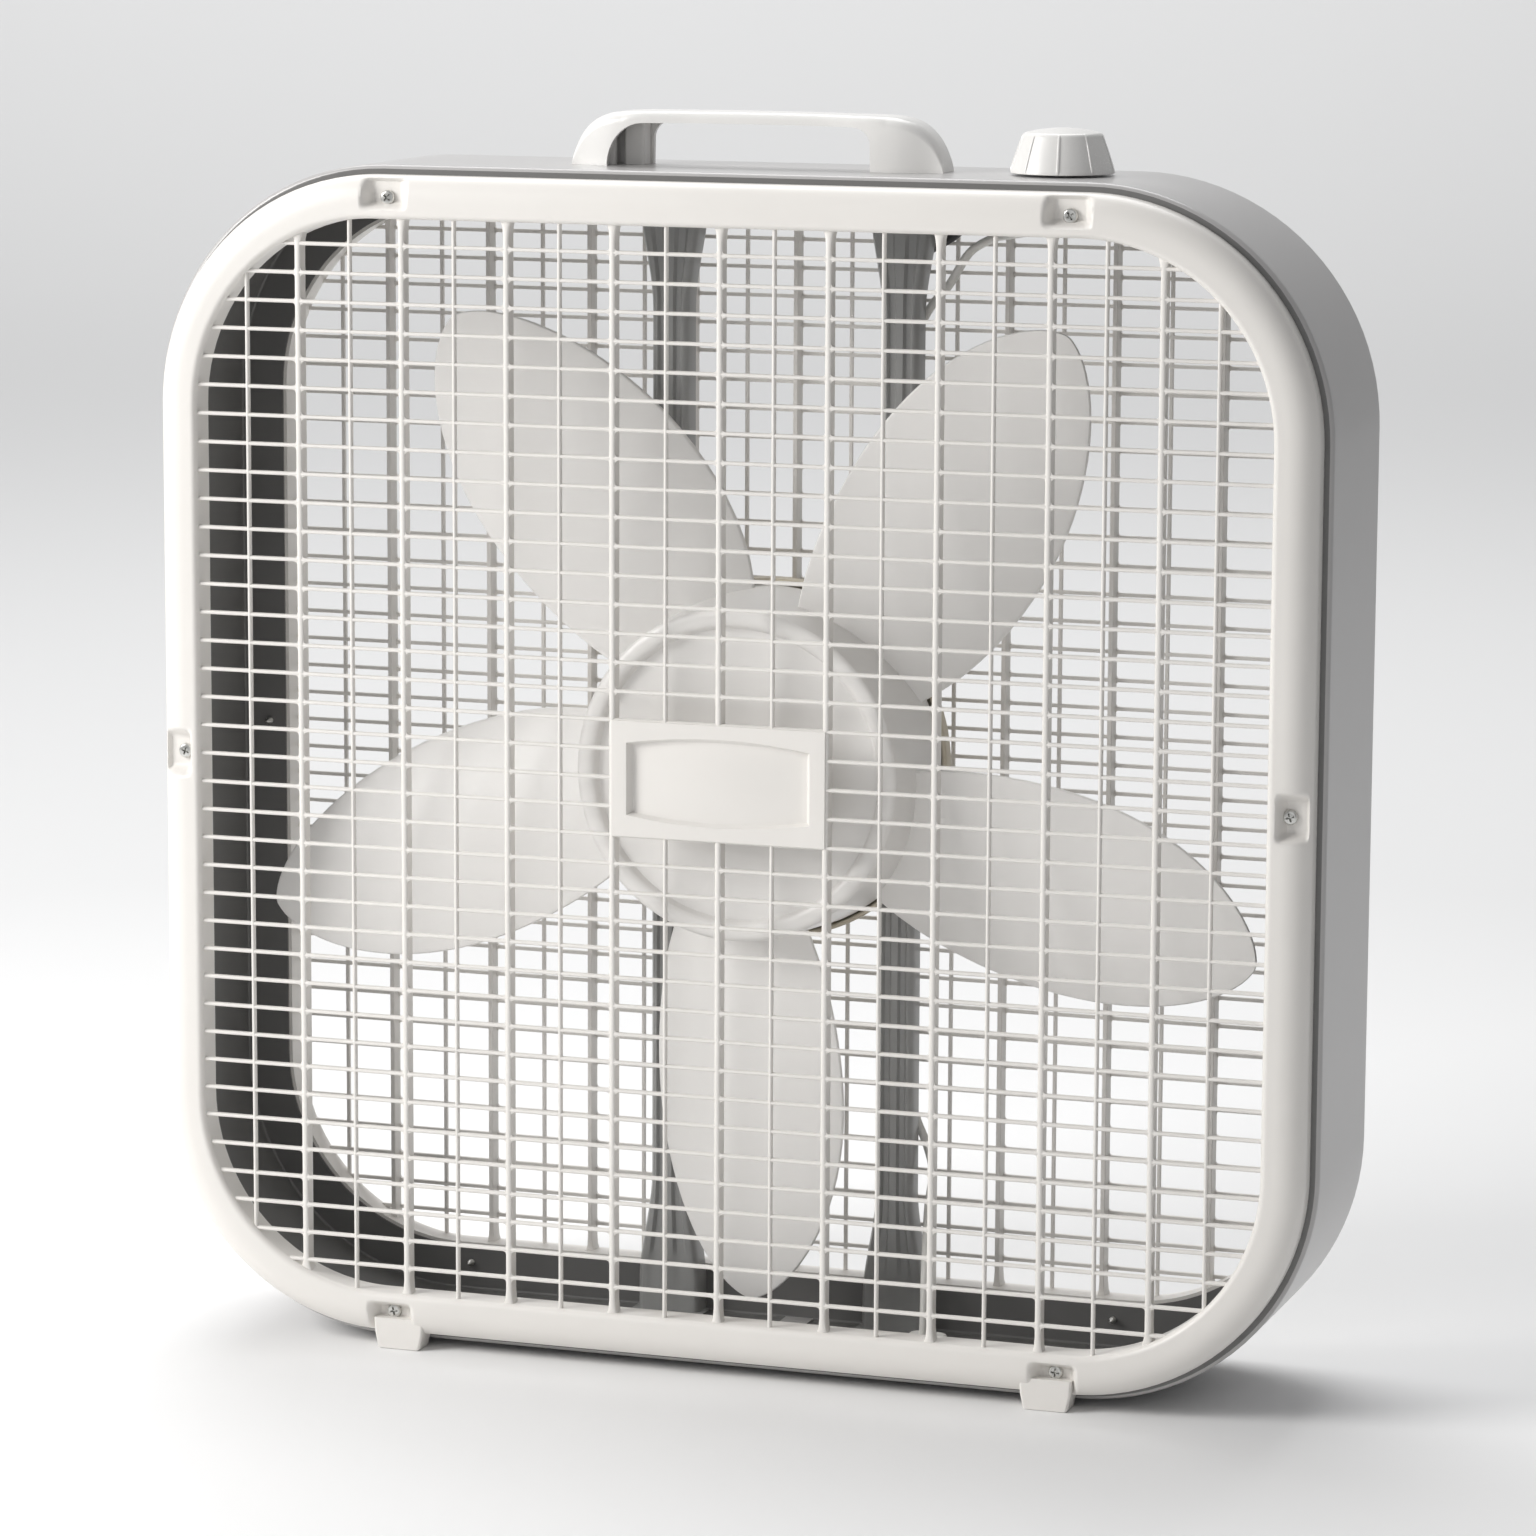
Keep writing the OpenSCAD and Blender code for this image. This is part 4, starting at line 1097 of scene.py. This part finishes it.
motor_route = [
    (0, plate_high.y + 4, MID_Z + 52),
    (14, strut_high.y - 6, MID_Z + 62),
    (MOTOR_X - 21, strut_high.y, MID_Z + 76),
    (MOTOR_X - 11, LEAD_OVER, MID_Z + 90),
    (MOTOR_X - 4.3, LEAD_OVER, MID_Z + 104),
    (MOTOR_X - 0.3, LEAD_Y + 2.5, MID_Z + 118),
    (MOTOR_X, LEAD_Y, MID_Z + 134),
    (MOTOR_X, LEAD_Y, CASE_TOP - 98),
    (MOTOR_X, LEAD_Y, CASE_TOP - 68),
    (MOTOR_X + 0.7, LEAD_Y + 2.5, CASE_TOP - 55),
    (MOTOR_X + 4.7, LEAD_OVER, CASE_TOP - 45),
    (MOTOR_X + 12.7, LEAD_OVER, CASE_TOP - 37),
    (MOTOR_X + 23, LEAD_OVER - 0.2, CASE_TOP - 31),
    (MOTOR_X + 33, LEAD_Y - 0.5, CASE_TOP - 24),
    (KNOB_X - 40, LEAD_Y - 12, CASE_TOP - 18),
    (KNOB_X - 22, 17, CASE_TOP - 19),
    (KNOB_X - 8, 14, CASE_TOP - 21),
    (KNOB_X + 2, 9, CASE_TOP - 21.5),
    (KNOB_X + 3.5, 2.2, CASE_TOP - 21.5),
]
show("supply_wire", tube(supply_route, LEAD_R), "case", ["supply_lead"], lead_white)
show("motor_wire", tube(motor_route, LEAD_R), "case", ["motor_lead"], lead_dark)


def gland():
    """Cord outlet inside the case: a rounded block with a raised collar round its hole."""
    shape = Shape()
    half_x, half_y = (gland_high.x - gland_low.x) / 2, (gland_high.y - gland_low.y) / 2
    rings = []
    for z, inset in ((FLOOR, 0), (gland_high.z - 1.2, 0), (gland_high.z - 0.4, 0.4),
                     (gland_high.z, 1.2)):
        outline = rounded_outline(half_x - inset, half_y - inset, 3, 5)
        rings.append([(GLAND.x + x, GLAND.y + y, z) for x, y in outline])
    shape.loft(rings)
    bottom = gland_low.z
    collar = [(3.2, bottom), (6.6, bottom), (7, bottom + 0.4), (7, FLOOR + 1), (3.2, FLOOR + 1)]
    shape.add(revolve(collar, 32, lambda x, y, z: (GLAND.x + x, GLAND.y + y, z)))
    return shape


show("cord_outlet", gland(), "case", ["cord_gland"], gland_plastic)


# ---------- CAD nodes that stay ----------

KEPT = {
    zinc: ["handle_screws", "strut_screws", "motor_plate_screws", "motor_plate_nuts",
           "motor_bolts", "motor_nuts", "hub_clip", "switch_nut"],
    rubber: ["motor_grommets"],
    core_steel: ["stator_core", "rotor_core"],
    copper: ["field_coils", "shading_rings"],
    bell_alloy: ["front_bell", "rear_bell"],
    bronze: ["front_bearing", "rear_bearing"],
    shaft_steel: ["motor_shaft", "switch_spindle"],
    fibre: ["thrust_washers"],
    switch_plastic: ["switch_body"],
    brass: ["switch_terminals"],
    gland_plastic: ["gland_nut", "lead_clips"],
}
for material, names in KEPT.items():
    for name in names:
        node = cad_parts[name]
        for place in node.material_slots:
            place.link = "OBJECT"
            place.material = material


# ---------- stage, light and camera ----------

def floor_with_painted_light_pool():
    """Matt grey with a painted pool of light: palest round the middle of the floor, darker outward.
    """
    material = bpy.data.materials.new("floor_with_painted_light_pool")
    material.use_nodes = True
    nodes, links = material.node_tree.nodes, material.node_tree.links
    shader = nodes["Principled BSDF"]
    shader.inputs["Roughness"].default_value = 0.8
    place = nodes.new("ShaderNodeTexCoord")
    distance = nodes.new("ShaderNodeVectorMath")
    distance.operation = "LENGTH"
    links.new(place.outputs["Object"], distance.inputs[0])
    # Painted light: the colour fades from pale at the middle to darker grey farther out.
    shade = nodes.new("ShaderNodeValToRGB")
    steps = shade.color_ramp.elements
    steps[0].position, steps[0].color = 0.0, (0.92, 0.92, 0.92, 1)
    steps[1].position, steps[1].color = 1.0, (0.62, 0.62, 0.62, 1)
    steps.new(0.12).color = (0.72, 0.72, 0.72, 1)
    reach = nodes.new("ShaderNodeMapRange")
    reach.inputs["From Max"].default_value = 10.0
    links.new(distance.outputs["Value"], reach.inputs["Value"])
    links.new(reach.outputs["Result"], shade.inputs["Fac"])
    links.new(shade.outputs["Color"], shader.inputs["Base Color"])
    return material


def stage():
    """A pale round floor that curves up into a wall all round."""
    floor_r, bend_r, wall_h = 12.0, 7.0, 8.0
    profile = [(r, 0.0) for r in spread(0, floor_r - bend_r, 8)]
    profile += arc((floor_r - bend_r, bend_r), bend_r, 270, 360, 18)[1:]
    profile += [(floor_r, wall_h)]
    count = 96
    verts, faces = [], []
    for k in range(count):
        a = 2 * math.pi * k / count
        verts += [(r * math.cos(a), r * math.sin(a), h) for r, h in profile]
    n = len(profile)
    for k in range(count):
        m = (k + 1) % count
        faces += [(k * n + i, m * n + i, m * n + i + 1, k * n + i + 1) for i in range(n - 1)]
    mesh = bpy.data.meshes.new("studio_floor")
    mesh.from_pydata(verts, [], faces)
    tidy = bmesh.new()
    tidy.from_mesh(mesh)
    bmesh.ops.remove_doubles(tidy, verts=tidy.verts, dist=1e-5)
    tidy.to_mesh(mesh)
    tidy.free()
    mesh.shade_smooth()
    mesh.materials.append(floor_with_painted_light_pool())
    floor = bpy.data.objects.new("studio_floor", mesh)
    bpy.context.scene.collection.objects.link(floor)


def area_light(name, place, aim, size, power, colour=(1, 1, 1)):
    """A soft rectangular lamp; places are in metres."""
    data = bpy.data.lights.new(name, "AREA")
    data.shape = "RECTANGLE"
    data.size, data.size_y = size
    data.energy = power
    data.color = colour
    lamp = bpy.data.objects.new(name, data)
    bpy.context.scene.collection.objects.link(lamp)
    lamp.visible_camera = False
    lamp.location = place
    lamp.rotation_mode = "QUATERNION"
    lamp.rotation_quaternion = (Vector(aim) - Vector(place)).to_track_quat("-Z", "Y")


stage()
target = Vector((0, 0, MID_Z * MM))
area_light("key", (-1.45, -1.1, 1.1), target, (0.9, 0.9), 33, (1.0, 0.99, 0.975))
area_light("fill", (0.3, -2.5, 0.9), target, (1.6, 1.2), 5)
area_light("pool", (-0.7, 1.5, 3.0), (-0.7, 1.5, 0), (2.6, 2.6), 85)
area_light("wall", (-2.4, 6.0, 5.0), (-3.4, 10.0, 0.5), (5.0, 3.0), 240)

world = bpy.data.worlds.new("studio")
world.use_nodes = True
world.node_tree.nodes["Background"].inputs["Color"].default_value = (0.97, 0.98, 1.0, 1)
world.node_tree.nodes["Background"].inputs["Strength"].default_value = 0.34
bpy.context.scene.world = world
bpy.context.scene.view_settings.view_transform = "Standard"

# The camera's place in degrees, and its distance from what it looks at in millimetres.
AZIMUTH, ELEVATION, ROLL = 18.74, 9.36, 0.26
DISTANCE = 2458
AIM = Vector((22.7, rim_low.y + 2.5, MID_Z + 8.3))


def camera():
    """A long lens, set to look at the fan from its front right."""
    a, e = math.radians(AZIMUTH), math.radians(ELEVATION)
    back = Vector((math.sin(a) * math.cos(e), -math.cos(a) * math.cos(e), math.sin(e)))
    data = bpy.data.cameras.new("camera")
    data.lens = 135
    data.sensor_width = 36
    data.clip_start, data.clip_end = 0.05, 30
    eye = bpy.data.objects.new("camera", data)
    bpy.context.scene.collection.objects.link(eye)
    eye.location = (AIM + back * DISTANCE) * MM
    roll = Matrix.Rotation(math.radians(ROLL), 3, "Z")
    turn = (-back).to_track_quat("-Z", "Y").to_matrix() @ roll
    eye.rotation_mode = "QUATERNION"
    eye.rotation_quaternion = turn.to_quaternion()
    bpy.context.scene.camera = eye


camera()
